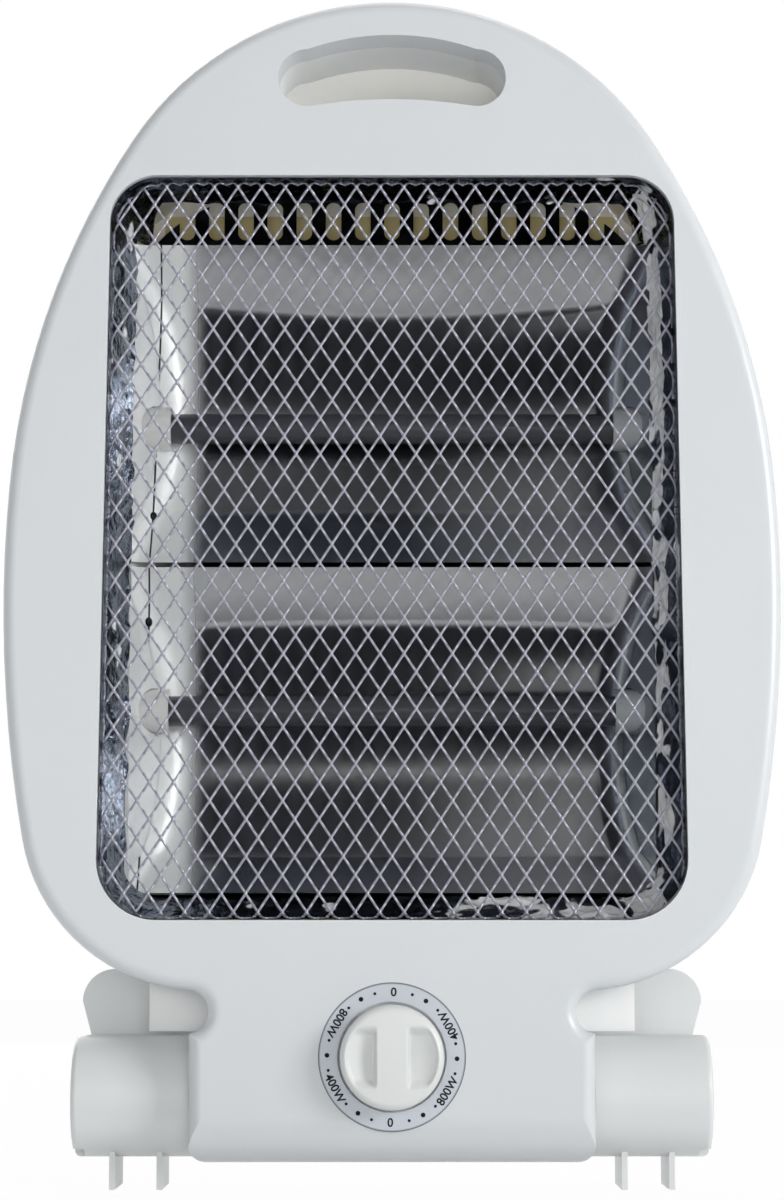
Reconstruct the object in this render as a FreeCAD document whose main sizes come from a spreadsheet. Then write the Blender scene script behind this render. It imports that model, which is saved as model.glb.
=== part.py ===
import FreeCAD, Part
import os
import re
import Sketcher

doc = FreeCAD.newDocument("quartz_heater")
sheet = doc.addObject("Spreadsheet::Sheet", "sizes")

# Driving sizes in millimetres and degrees. Depths are counted back from the panel's front face.
SIZES = {
    # whole heater: front face to back, knob in front of the face
    "body_depth": 70.0, "knob_proud": 10.0,
    # common wall, clearances and the overrun of every cut
    "wall": 2.5, "seat_gap": 0.3, "run_gap": 0.05, "overrun": 5.0,
    # panel outline from the notch upwards: four arcs, each up to its angle from straight up
    "notch_radius": 7.2, "notch_rise": 8.07, "notch_shift": 1.0,
    "corner_radius": 60.5, "corner_angle": 176.0, "flank_radius": 454.4, "flank_angle": 100.5,
    "shoulder_radius": 258.0, "shoulder_angle": 85.4, "crown_angle": 57.2,
    # control block below the neck
    "block_half": 66.8, "block_drop": 21.1, "block_round": 6.0, "foot_roll": 15.0,
    # front panel
    "panel_depth": 31.0, "edge_round": 4.5, "flange_depth": 14.0,
    # window: rim beside it, forehead above it, chin below it
    "rim_side": 32.2, "window_taper": 2.6, "forehead": 61.7, "chin": 30.0,
    "window_top_round": 16.0, "window_foot_round": 20.0,
    # finger grip: bar above it, width, height at the middle, arch of its two long edges
    "grip_bar": 12.6, "grip_half": 38.8, "grip_height": 22.6, "grip_arch": 5.0,
    # rear cover: rim with a wide neck, then a deeper box
    "rim_depth": 42.0, "parting": 0.6, "neck_half": 82.0, "neck_gap": 1.2,
    "rim_round": 4.0, "rear_round": 6.0,
    "box_half": 106.0, "box_top_drop": 44.0, "box_foot_rise": 25.0,
    "box_top_round": 60.0, "box_foot_round": 20.0,
    # vent slots
    "slot_pitch": 10.5, "slot_width": 5.6, "slot_height": 14.0, "slot_count": 15.0,
    "top_slot_drop": 0.5, "cover_slot_drop": 20.0, "foot_slot_rise": 20.0,
    # guard of crossing strands
    "guard_depth": 5.0, "guard_skirt": 8.0, "strand": 0.8, "strand_pitch": 8.08, "strand_rise": 12.3,
    "layer_gap": 0.15, "guard_rim": 1.0,
    # heat shield behind the reflectors and foil round the cavity
    "shield_air": 5.0, "sheet": 1.0, "shield_margin": 6.5, "foil": 0.6, "foil_end": 18.0,
    # reflector troughs
    "trough_air": 7.0, "trough_depth": 24.5, "trough_height": 111.5, "ridge_rise": 122.0, "ridge_gap": 1.7,
    "facet_height": 24.0, "facet_depth": 15.5,
    "trough_half": 89.5, "trough_back_half": 72.5, "trough_sheet": 0.8,
    "end_flange": 16.0, "end_screw_rise": 66.0,
    # quartz tubes, elements and caps
    "tube_radius": 5.25, "tube_wall": 1.0, "tube_set": 12.0, "tube_spread": 49.5,
    "cap_radius": 7.6, "cap_start": 77.0, "cap_length": 18.0, "cap_end": 4.0,
    "element_radius": 3.2, "lead_radius": 1.0, "tab_length": 6.0, "tab_width": 6.3,
    # dial, knob and switch
    "dial_rise": 13.7, "dial_radius": 24.2, "dial_recess": 2.2, "seat_thick": 5.0, "knob_radius": 17.0,
    "ring_gap": 0.9, "knob_gap": 0.5, "knob_round": 2.5, "scoop_depth": 5.0, "scoop_radius": 10.8,
    "bar_half": 4.6, "shaft_radius": 3.0, "shaft_grip": 6.0, "shaft_reach": 7.0,
    "switch_half": 15.0, "switch_depth": 23.0, "switch_screw_offset": 11.0,
    # feet: barrel on the hub axis, paddle behind, two ribs below
    "hub_height": 30.7, "hub_radius": 20.2, "hub_wall": 2.5, "hub_gap": 0.5,
    "hub_length": 39.2, "hub_end": 3.5, "hub_round": 2.0,
    "paddle": 3.2, "paddle_sink": 0.6, "paddle_rise": 42.3, "paddle_waist": 3.0,
    "paddle_round": 11.0, "paddle_crown": 130.0,
    "rib": 1.9, "rib_front": 8.7, "rib_inset": 10.2, "rib_pitch": 15.8, "pry_width": 4.0, "pry_height": 3.0,
    "lid": 2.4, "lid_recess": 1.2,
    # pivot axle with its washer and screw
    "axle_radius": 5.0, "axle_flange_radius": 8.0, "axle_flange": 4.0, "axle_proud": 0.3,
    "washer_radius": 8.0, "washer": 1.2,
    # screws
    "boss_radius": 4.0, "screw_radius": 1.45, "screw_slack": 0.25, "head_radius": 3.0, "head_height": 2.0,
    "screw_bite": 12.0, "boss_inset": 16.3, "boss_low": 91.0, "boss_high": 203.0, "boss_top_drop": 31.0,
    "boss_top_half": 57.0, "boss_foot_inset": 12.8, "boss_foot_rise": 9.4,
    "shield_hole_half": 92.0, "shield_hole_rise": 40.0, "shield_hole_drop": 66.0,
    # parts beside the switch and the cord's inlet
    "module_offset": 37.0, "module_half": 11.0, "module_depth": 14.0, "module_height": 26.0,
    "inlet_radius": 6.0, "inlet_flange": 1.5, "inlet_proud": 2.0, "inlet_bore": 3.6, "inlet_rise": 16.0,
    # nearness at which two levels count as one
    "level_slack": 0.01,
}
# Depths that follow from the sizes, counted forwards from the inside of the back.
DEPTHS = {
    "shield_depth": "=body_depth - wall - shield_air - sheet",
    "lip_depth": "=shield_depth - trough_air - trough_depth",
    "tube_depth": "=lip_depth + tube_set",
    "hub_depth": "=panel_depth",
}
ROWS = {**SIZES, **DEPTHS}
for row, (alias, size) in enumerate(ROWS.items(), start=1):
    sheet.set(f"A{row}", alias)
    sheet.set(f"B{row}", str(size))
    sheet.setAlias(f"B{row}", alias)
doc.recompute()

PIECES = {}
UP = FreeCAD.Rotation()
ALONG_X = FreeCAD.Rotation(FreeCAD.Vector(0, 1, 0), 90)
ALONG_Y = FreeCAD.Rotation(FreeCAD.Vector(1, 0, 0), -90)


# A size worked out now, and the same words as a formula that other objects can hold.
def value(words):
    return float(sheet.evalExpression(str(words)))


def formula(words):
    return re.sub(r"[a-z]+(_[a-z]+)*", lambda m: "sizes." + m[0] if m[0] in ROWS else m[0], str(words))


def tie(thing, prop, words):
    thing.setExpression(prop, formula(words))


# Y of a depth behind the panel's front face; the object's box is centred on Y = 0.
def back(depth):
    return f"({depth}) - (body_depth - knob_proud) / 2"


# Outlines: a loop is a list of (x, y, radius, turn); turn is 1 or -1 where the run to the next
# point is an arc to the left or right, and 0 where it is straight.
def mirrored(half, top, foot):
    left = [(f"-({x})", y) for x, y, radius, turn in reversed(half)]
    runs = [(radius, turn) for x, y, radius, turn in reversed(half[:-1])] + [top]
    right = half[:-1] + [half[-1][:2] + foot]
    return right + [point + run for point, run in zip(left, runs)]


def circle(x, y, radius):
    return ("circle", x, y, radius)


def rectangle(x0, y0, x1, y1):
    return [(x0, y0, "0", 0), (x1, y0, "0", 0), (x1, y1, "0", 0), (x0, y1, "0", 0)]


def draw(body, plane, offset, loops, name):
    planes = {feature.Role: feature for feature in body.Origin.OriginFeatures}
    sketch = body.newObject("Sketcher::SketchObject", name)
    sketch.AttachmentSupport = [(planes[plane + "_Plane"], "")]
    sketch.MapMode = "FlatFace"
    tie(sketch, "AttachmentOffset.Base.z", offset)

    def hold(kind, index, place, words):
        if kind == "Radius":
            held = sketch.addConstraint(Sketcher.Constraint(kind, index, value(words)))
        else:
            held = sketch.addConstraint(Sketcher.Constraint(kind, index, place, value(words)))
        tie(sketch, f"Constraints[{held}]", words)

    for loop in loops:
        if loop[0] == "circle":
            word, x, y, radius = loop
            centre = FreeCAD.Vector(value(x), value(y), 0)
            index = sketch.addGeometry(Part.Circle(centre, FreeCAD.Vector(0, 0, 1), value(radius)))
            hold("DistanceX", index, 3, x)
            hold("DistanceY", index, 3, y)
            hold("Radius", index, 0, radius)
            continue
        spots = [FreeCAD.Vector(value(x), value(y), 0) for x, y, radius, turn in loop]
        ends = []
        for i, (x, y, radius, turn) in enumerate(loop):
            start, end = spots[i], spots[(i + 1) % len(loop)]
            if turn == 0:
                index = sketch.addGeometry(Part.LineSegment(start, end))
                ends.append((index, 1, 2))
                continue
            chord = end - start
            across = FreeCAD.Vector(chord.y, -chord.x, 0).normalize()
            reach = value(radius)
            rise = reach - max(reach ** 2 - (chord.Length / 2) ** 2, 0) ** 0.5
            centre = (start + end) * 0.5 + across * (rise - reach) * turn
            ring = Part.Circle(centre, FreeCAD.Vector(0, 0, 1), reach)
            first, last = (start, end) if turn == 1 else (end, start)
            index = sketch.addGeometry(Part.ArcOfCircle(ring, ring.parameter(first), ring.parameter(last)))
            ends.append((index, 1, 2) if turn == 1 else (index, 2, 1))
        for i, (index, first, last) in enumerate(ends):
            following = ends[(i + 1) % len(ends)]
            sketch.addConstraint(Sketcher.Constraint("Coincident", index, last, following[0], following[1]))
        for (index, first, last), (x, y, radius, turn) in zip(ends, loop):
            hold("DistanceX", index, first, x)
            hold("DistanceY", index, first, y)
            if turn != 0:
                hold("Radius", index, 0, radius)
    return sketch


def new_body(label):
    body = doc.addObject("PartDesign::Body", label)
    body.Label = label
    PIECES[label] = body
    return body


# A pad or pocket from one depth to another on the face plane, or along X or Z.
SIDES = {"XZ": (back, "-({})", True), "YZ": (str, "{}", False), "XY": (str, "{}", False)}


def extrude(kind, body, plane, start, end, loops, name):
    place, sign, flipped = SIDES[plane]
    before = body.Shape.Volume if body.Tip else 0.0
    sketch = draw(body, plane, sign.format(place(start)), loops, name + "_sketch")
    feature = body.newObject("PartDesign::" + kind, name)
    feature.Profile = sketch
    tie(feature, "Length", f"({end}) - ({start})")
    feature.Reversed = flipped if kind == "Pad" else not flipped
    doc.recompute()
    changed = body.Shape.Volume - before
    if (changed > 0) != (kind == "Pad"):
        raise RuntimeError(f"{body.Label} {name} changed nothing: {changed}")
    return feature


def pad(body, plane, start, end, loops, name):
    return extrude("Pad", body, plane, start, end, loops, name)


def cut(body, plane, start, end, loops, name):
    return extrude("Pocket", body, plane, start, end, loops, name)


def row(body, feature, count, pitch, name):
    pattern = body.newObject("PartDesign::LinearPattern", name)
    pattern.Originals = [feature]
    pattern.Direction = (feature.Profile[0], ["H_Axis"])
    tie(pattern, "Length", f"({pitch}) * (({count}) - 1)")
    tie(pattern, "Occurrences", count)
    body.Tip = pattern
    doc.recompute()


def soften(body, radius, chosen, name):
    edges = [f"Edge{i}" for i, edge in enumerate(body.Shape.Edges, start=1) if chosen(edge)]
    base = body.Tip
    fillet = body.newObject("PartDesign::Fillet", name)
    fillet.Base = (base, edges)
    tie(fillet, "Radius", radius)
    body.Tip = fillet
    doc.recompute()


def lies_at(axis, words):
    level, slack = value(words), value("level_slack")

    def chosen(edge):
        low, high = getattr(edge.BoundBox, axis + "Min"), getattr(edge.BoundBox, axis + "Max")
        return abs(low - level) < slack and abs(high - level) < slack
    return chosen


# Round stock between two places along an axis.
def rod(name, axis, start, end, x, y, z, radius):
    piece = doc.addObject("Part::Cylinder", name)
    tie(piece, "Radius", radius)
    tie(piece, "Height", f"({end}) - ({start})")
    piece.Placement.Rotation = axis
    places = {"x": x, "y": y, "z": z}
    places["x" if axis is ALONG_X else "y" if axis is ALONG_Y else "z"] = start
    for letter, words in places.items():
        tie(piece, "Placement.Base." + letter, words)
    return piece


def block(name, x0, x1, y0, y1, z0, z1):
    piece = doc.addObject("Part::Box", name)
    for prop, low, high, letter in (("Length", x0, x1, "x"), ("Width", y0, y1, "y"), ("Height", z0, z1, "z")):
        tie(piece, prop, f"({high}) - ({low})")
        tie(piece, "Placement.Base." + letter, low)
    return piece


def joined(kind, name, base, tool):
    piece = doc.addObject("Part::" + kind, name)
    piece.Base = base
    piece.Tool = tool
    return piece


def keep(label, piece):
    piece.Label = label
    PIECES[label] = piece
    return piece


def group(label, things):
    piece = doc.addObject("Part::Compound", label)
    piece.Links = things
    return keep(label, piece)


def mirror(label, source):
    piece = doc.addObject("Part::Mirroring", label)
    piece.Source = source
    piece.Normal = FreeCAD.Vector(1, 0, 0)
    return keep(label, piece)


# Screws along Y: a head against a face at one depth, and a shank from there to its tip.
def screws(label, places, face, tip, from_front):
    made = []
    head_ends = (f"{face} - head_height", face) if from_front else (face, f"{face} + head_height")
    shank_ends = (face, tip) if from_front else (tip, face)
    for i, (x, z) in enumerate(places):
        head = rod(f"{label}_head_{i}", ALONG_Y, back(head_ends[0]), back(head_ends[1]), x, None, z,
                   "head_radius")
        shank = rod(f"{label}_shank_{i}", ALONG_Y, back(shank_ends[0]), back(shank_ends[1]), x, None, z,
                    "screw_radius")
        made.append(joined("Fuse", f"{label}_{i}", head, shank))
    group(label, made)


# Outline of the panel, walked from the notch up: centres of the arcs one after another.
hub_top = "(hub_height + hub_radius)"
notch_x = "(block_half + notch_shift)"
notch_z = f"({hub_top} + notch_rise)"
corner_x = f"({notch_x} - (notch_radius + corner_radius) * sin(corner_angle))"
corner_z = f"({notch_z} - (notch_radius + corner_radius) * cos(corner_angle))"
flank_x = f"({corner_x} + (corner_radius - flank_radius) * sin(flank_angle))"
flank_z = f"({corner_z} + (corner_radius - flank_radius) * cos(flank_angle))"
shoulder_x = f"({flank_x} + (flank_radius - shoulder_radius) * sin(shoulder_angle))"
shoulder_z = f"({flank_z} + (flank_radius - shoulder_radius) * cos(shoulder_angle))"
crown_radius = f"(shoulder_radius + {shoulder_x} / sin(crown_angle))"
crown_z = f"({shoulder_z} - {shoulder_x} * cos(crown_angle) / sin(crown_angle))"
panel_top = f"({crown_z} + {crown_radius})"
panel_half = f"({flank_x} + flank_radius)"
block_foot = "(hub_height - block_drop)"


def oval_side(inset):
    crown, shoulder = f"({crown_radius} - {inset})", f"(shoulder_radius - {inset})"
    flank, corner = f"(flank_radius - {inset})", f"(corner_radius - {inset})"
    return [
        (f"{crown} * sin(crown_angle)", f"{crown_z} + {crown} * cos(crown_angle)", shoulder, -1),
        (f"{flank_x} + {flank} * sin(shoulder_angle)", f"{flank_z} + {flank} * cos(shoulder_angle)", flank, -1),
        (f"{corner_x} + {corner} * sin(flank_angle)", f"{corner_z} + {corner} * cos(flank_angle)", corner, -1),
    ]


def block_side(inset, start, lift="0"):
    side, foot = f"block_half - {inset}", f"{block_foot} + {inset} + {lift}"
    round_off = f"(block_round - {inset})"
    return [
        (side, start, "0", 0),
        (side, f"{foot} + {round_off}", round_off, -1),
        (f"{side} - {round_off}", foot, "0", 0),
    ]


def panel_outline(inset, lift="0"):
    notch = f"(notch_radius + {inset})"
    meet = f"{notch_z} - sqrt({notch}^2 - (notch_shift + {inset})^2)"
    half = oval_side(inset) + [
        (f"{notch_x} - {notch} * sin(corner_angle)", f"{notch_z} - {notch} * cos(corner_angle)", notch, 1),
    ] + block_side(inset, meet, lift)
    return mirrored(half, (f"{crown_radius} - {inset}", -1), ("0", 0))


# The rear cover keeps the oval but has a wider neck, which shows through the panel's notches.
def cover_outline(inset):
    corner = f"(corner_radius - {inset})"
    half = oval_side(inset) + [
        ("neck_half", f"{corner_z} - sqrt({corner}^2 - (neck_half - {corner_x})^2)", "0", 0),
        ("neck_half", f"{hub_top} + neck_gap", "0", 0),
    ] + block_side(inset, f"{hub_top} + neck_gap")
    return mirrored(half, (f"{crown_radius} - {inset}", -1), ("0", 0))


def rounded(half_top, half_foot, top, foot, top_round, foot_round):
    lean = f"(({half_foot}) - ({half_top})) / (({top}) - ({foot}))"
    half = [
        (f"{half_top} - {top_round}", top, top_round, -1),
        (f"{half_top} + {top_round} * {lean}", f"{top} - {top_round}", "0", 0),
        (f"{half_foot} - {foot_round} * {lean}", f"{foot} + {foot_round}", foot_round, -1),
        (f"{half_foot} - {foot_round}", foot, "0", 0),
    ]
    return mirrored(half, ("0", 0), ("0", 0))


window_half = f"({panel_half} - rim_side)"
window_top = f"({panel_top} - forehead)"
window_foot = f"({notch_z} + chin)"
top_slot_z = f"({window_top} - top_slot_drop)"
box_top = f"({panel_top} - box_top_drop)"
box_foot = f"({notch_z} + box_foot_rise)"


def window_outline(grow):
    return rounded(f"({window_half} - window_taper + {grow})", f"({window_half} + {grow})",
                   f"({window_top} + {grow})", f"({window_foot} - {grow})",
                   f"(window_top_round + {grow})", f"(window_foot_round + {grow})")


# Deep box of the rear cover, and the heat shield inside it.
def box_outline(inset):
    return rounded(f"(box_half - {inset})", f"(box_half - {inset})", f"({box_top} - {inset})",
                   f"({box_foot} + {inset})", f"(box_top_round - {inset})", f"(box_foot_round - {inset})")


# Finger grip: both long edges are arched, the ends are round.
grip_top = f"({panel_top} - grip_bar)"
grip_foot = f"({grip_top} - grip_height)"


def grip_outline(grow):
    foot_arch = "(grip_arch / 2)"
    end_low, end_high = f"({grip_foot} - {foot_arch})", f"({grip_top} - grip_arch)"
    end_round = f"(({end_high} - {end_low}) / 2)"
    flat = f"(grip_half - {end_round})"
    top_arc = f"(({flat}^2 + grip_arch^2) / (2 * grip_arch) + {grow})"
    foot_arc = f"(({flat}^2 + {foot_arch}^2) / (2 * {foot_arch}) - {grow})"
    half = [
        (flat, f"{end_high} + {grow}", f"({end_round} + {grow})", -1),
        (f"grip_half + {grow}", f"({end_high} + {end_low}) / 2", f"({end_round} + {grow})", -1),
        (flat, f"{end_low} - {grow}", "0", 0),
    ]
    return mirrored(half, (top_arc, -1), (foot_arc, 1))


# Places of the long screws, the dial and the tubes.
dial_z = "(hub_height + dial_rise)"
side_x = f"({panel_half} - boss_inset)"
foot_x = "(block_half - boss_foot_inset)"
BOSSES = [(f"{sign} * {x}", z) for sign in ("1", "-1") for x, z in (
    (side_x, f"{notch_z} + boss_low"), (side_x, f"{notch_z} + boss_high"),
    ("boss_top_half", f"{panel_top} - boss_top_drop"), (foot_x, f"{block_foot} + boss_foot_rise"))]
SHIELD_HOLES = [(f"{sign} * shield_hole_half", z) for sign in ("1", "-1") for z in (
    f"{window_foot} + shield_hole_rise", f"{window_top} - shield_hole_drop")]
ridge_z = f"({window_foot} + ridge_rise)"
TUBES = {"upper": f"({ridge_z} + tube_spread)", "lower": f"({ridge_z} - tube_spread)"}
trough_foot = f"({ridge_z} - ridge_gap / 2 - trough_height)"
end_slope = "((trough_half - trough_back_half) / trough_depth)"
end_lean = f"sqrt(1 + {end_slope}^2)"


# Half width of the reflectors' slanted ends at a depth.
def slant(depth):
    return f"(trough_half - {end_slope} * (({depth}) - lip_depth))"


END_SCREWS = [(f"{sign} * ({slant('shield_depth')} + end_flange / 2)", f"{ridge_z} + {rise} * end_screw_rise")
              for sign in ("1", "-1") for rise in ("1", "-1")]
SWITCH_SCREWS = [(f"{sign} * switch_screw_offset", dial_z) for sign in ("1", "-1")]


def rings(places, radius):
    return [circle(x, z, radius) for x, z in places]


def front_panel():
    body = new_body("front_panel")
    pad(body, "XZ", "0", "panel_depth", [panel_outline("0")], "plate")
    soften(body, "edge_round", lies_at("Y", back("0")), "edge")
    rolled = [
        (back("0"), f"{block_foot} + foot_roll", "foot_roll", 1), (back("foot_roll"), block_foot, "0", 0),
        (back("foot_roll"), f"{block_foot} - overrun", "0", 0),
        (back("-overrun"), f"{block_foot} - overrun", "0", 0),
        (back("-overrun"), f"{block_foot} + foot_roll", "0", 0),
    ]
    cut(body, "YZ", "-block_half - overrun", "block_half + overrun", [rolled], "foot_roll_cut")
    cut(body, "XZ", "foot_roll", "panel_depth + overrun", [panel_outline("wall")], "hollow")
    cut(body, "XZ", "wall", "panel_depth", [panel_outline("wall", "foot_roll - wall")], "front_hollow")
    pad(body, "XZ", "wall", "flange_depth", [window_outline("wall")], "window_flange")
    pad(body, "XZ", "wall", "flange_depth", [grip_outline("wall")], "grip_flange")
    cut(body, "XZ", "-overrun", "flange_depth + overrun", [window_outline("0"), grip_outline("0")], "openings")
    pad(body, "XZ", "wall", "seat_thick", [circle("0", dial_z, "dial_radius + wall")], "dial_seat")
    cut(body, "XZ", "-overrun", "dial_recess",
        [circle("0", dial_z, "dial_radius + run_gap")], "dial_recess_cut")
    holes = rings(SWITCH_SCREWS, "screw_radius + screw_slack")
    cut(body, "XZ", "0", "seat_thick + overrun",
        [circle("0", dial_z, "shaft_radius + wall")] + holes, "shaft_hole")
    pad(body, "XZ", "wall", "panel_depth", rings(BOSSES, "boss_radius"), "bosses")
    cut(body, "YZ", "-block_half - overrun", "block_half + overrun", [rolled], "boss_trim")
    cut(body, "XZ", "panel_depth - screw_bite", "panel_depth + overrun",
        rings(BOSSES, "screw_radius + run_gap"), "pilots")
    cut(body, "YZ", "-block_half - overrun", "block_half + overrun",
        [circle(back("hub_depth"), "hub_height", "axle_radius + run_gap")], "pivot_halves")


def rear_cover():
    body = new_body("rear_cover")
    inner = "(rim_depth - wall)"
    pad(body, "XZ", "panel_depth", "rim_depth", [cover_outline("parting")], "rim")
    at_rear = lies_at("Y", back("rim_depth"))
    soften(body, "rim_round",
           lambda edge: at_rear(edge) and edge.BoundBox.ZMax > value(window_foot), "rim_edge")
    pad(body, "XZ", "rim_depth", "body_depth", [box_outline("0")], "box")
    soften(body, "rear_round", lies_at("Y", back("body_depth")), "box_edge")
    cut(body, "XZ", "panel_depth - overrun", inner, [panel_outline("wall")], "hollow")
    cut(body, "XZ", f"{inner} - overrun", "body_depth - wall", [box_outline("wall")], "box_hollow")
    pad(body, "XZ", "flange_depth + seat_gap", inner, [grip_outline("wall")], "grip_cup")
    cut(body, "XZ", "flange_depth - overrun", inner, [grip_outline("0")], "grip_pocket")
    pad(body, "XZ", "panel_depth", inner, rings(BOSSES, "boss_radius"), "bosses")
    cut(body, "XZ", "panel_depth - overrun", "rim_depth + overrun",
        rings(BOSSES, "screw_radius + screw_slack"), "screw_holes")
    pad(body, "XZ", "shield_depth + sheet", "body_depth - wall",
        rings(SHIELD_HOLES, "boss_radius"), "standoffs")
    cut(body, "XZ", "shield_depth", "body_depth - wall",
        rings(SHIELD_HOLES, "screw_radius + run_gap"), "standoff_pilots")
    rows = (("top_slots", f"{window_top} - cover_slot_drop"), ("foot_slots", f"{window_foot} + foot_slot_rise"))
    for name, z in rows:
        slot = rounded_slot("-(slot_count - 1) * slot_pitch / 2", z)
        first = cut(body, "XZ", "body_depth - wall - overrun", "body_depth + overrun", [slot], name)
        row(body, first, "slot_count", "slot_pitch", name + "_row")
    cut(body, "XZ", f"{inner} - overrun", "rim_depth + overrun",
        [circle("0", f"{block_foot} + inlet_rise", "inlet_radius + run_gap")], "inlet_hole")
    cut(body, "YZ", "-block_half - overrun", "block_half + overrun",
        [circle(back("hub_depth"), "hub_height", "axle_radius + run_gap")], "pivot_halves")


# An upright slot with round ends.
def rounded_slot(x, z):
    half, tall = "(slot_width / 2)", "((slot_height - slot_width) / 2)"
    return [
        (f"{x} - {half}", f"{z} - {tall}", half, 1), (x, f"{z} - {tall} - {half}", half, 1),
        (f"{x} + {half}", f"{z} - {tall}", "0", 0),
        (f"{x} + {half}", f"{z} + {tall}", half, 1), (x, f"{z} + {tall} + {half}", half, 1),
        (f"{x} - {half}", f"{z} + {tall}", "0", 0),
    ]


# The guard: two layers of slanting strands, each held by its own rim inside the window.
def guard():
    height = f"({window_top} - {window_foot})"
    slope = "(strand_pitch / strand_rise)"
    spread = f"({height} * {slope})"
    width = f"(2 * {window_half})"
    count = f"floor(({width} + {spread}) / strand_pitch)"
    thick = "(strand * sqrt(1 + (strand_pitch / strand_rise)^2))"
    layers = (("guard_rising_strands", "guard_depth", "guard_depth + guard_skirt", 1),
              ("guard_falling_strands", "guard_depth + strand + layer_gap",
               "guard_depth + 2 * strand + layer_gap", -1))
    for label, start, rim_end, way in layers:
        body = new_body(label)
        inset = "-seat_gap" if way == 1 else "-2 * seat_gap - guard_rim"
        outer, inner = window_outline(f"({inset})"), window_outline(f"({inset} - guard_rim)")
        pad(body, "XZ", start, rim_end, [outer, inner], "rim")
        shift = f" - {spread}" if way == 1 else ""
        x = f"(-{window_half}{shift} + strand_pitch / 2)"
        top_x = f"({x} + {way} * {spread})"
        strand = [
            (x, window_foot, "0", 0), (f"{x} + {thick}", window_foot, "0", 0),
            (f"{top_x} + {thick}", window_top, "0", 0), (top_x, window_top, "0", 0),
        ]
        first = pad(body, "XZ", start, f"{start} + strand", [strand], "strand")
        row(body, first, count, "strand_pitch", "strands")
        around = rectangle(f"-3 * {window_half}", f"{window_foot} - {height}",
                           f"3 * {window_half}", f"{window_top} + {height}")
        cut(body, "XZ", f"{start} - overrun", f"{rim_end} + overrun", [around, outer], "trim")


# Crinkled foil that closes the gap from the window's flange to the reflectors at the sides and below.
def foil_liner():
    start, end = "(flange_depth + seat_gap)", "(lip_depth + seat_gap)"
    reach = f"({window_half} - window_taper - seat_gap)"
    near = f"(trough_half + 2 * seat_gap + sheet * {end_lean})"
    body = new_body("foil_liner")
    for name, sign in (("right", ""), ("left", "-")):
        strip = [
            (f"{sign}{reach}", back(start), "0", 0), (f"{sign}({reach} + foil)", back(start), "0", 0),
            (f"{sign}({near} + foil)", back(end), "0", 0), (f"{sign}{near}", back(end), "0", 0),
        ]
        pad(body, "XY", f"{window_foot} + foil_end", f"{window_top} - foil_end", [strip], name)
    low, high = f"({window_foot} + seat_gap)", f"({trough_foot} - 2 * seat_gap)"
    strip = [
        (back(start), low, "0", 0), (back(end), high, "0", 0),
        (back(end), f"{high} - foil", "0", 0), (back(start), f"{low} - foil", "0", 0),
    ]
    pad(body, "YZ", f"foil_end - {window_half}", f"{window_half} - foil_end", [strip], "foot")


def heat_shield():
    body = new_body("heat_shield")
    pad(body, "XZ", "shield_depth", "shield_depth + sheet", [box_outline("(wall + shield_margin)")], "plate")
    slot = rounded_slot("-(slot_count - 1) * slot_pitch / 2", top_slot_z)
    first = cut(body, "XZ", "shield_depth - overrun", "shield_depth + sheet + overrun", [slot], "slots")
    row(body, first, "slot_count", "slot_pitch", "slots_row")
    cut(body, "XZ", "shield_depth - overrun", "shield_depth + sheet + overrun",
        rings(SHIELD_HOLES + END_SCREWS, "screw_radius + screw_slack"), "holes")


# Two troughs of polished sheet, each with a flat facet above and below its hollow back, cut off on a slant.
def reflectors():
    half_back, hollow = "(trough_height / 2 - facet_height)", "(trough_depth - facet_depth)"
    radius = f"(({half_back}^2 + {hollow}^2) / (2 * {hollow}))"
    lip, fold = "lip_depth", "(lip_depth + facet_depth)"
    for label, side in (("reflector_upper", "1"), ("reflector_lower", "-1")):
        middle = f"({ridge_z} + {side} * (trough_height + ridge_gap) / 2)"
        foot, top = f"({middle} - trough_height / 2)", f"({middle} + trough_height / 2)"
        fold_foot, fold_top = f"{foot} + facet_height", f"{top} - facet_height"
        body = new_body(label)
        profile = [
            (back(lip), foot, "0", 0), (back(fold), fold_foot, radius, 1),
            (back(fold), fold_top, "0", 0), (back(lip), top, "0", 0),
            (back(f"{lip} + trough_sheet"), top, "0", 0),
            (back(f"{fold} + trough_sheet"), fold_top, radius, -1),
            (back(f"{fold} + trough_sheet"), fold_foot, "0", 0),
            (back(f"{lip} + trough_sheet"), foot, "0", 0),
        ]
        pad(body, "YZ", "-trough_half", "trough_half", [profile], "trough")
        front, rear = "(lip_depth - overrun)", "(lip_depth + trough_depth + overrun)"
        for name, sign in (("right", ""), ("left", "-")):
            wedge = [
                (f"{sign}{slant(front)}", back(front), "0", 0), (f"{sign}2 * trough_half", back(front), "0", 0),
                (f"{sign}2 * trough_half", back(rear), "0", 0), (f"{sign}{slant(rear)}", back(rear), "0", 0),
            ]
            cut(body, "XY", f"{foot} - overrun", f"{top} + overrun", [wedge], name + "_end")


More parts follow.
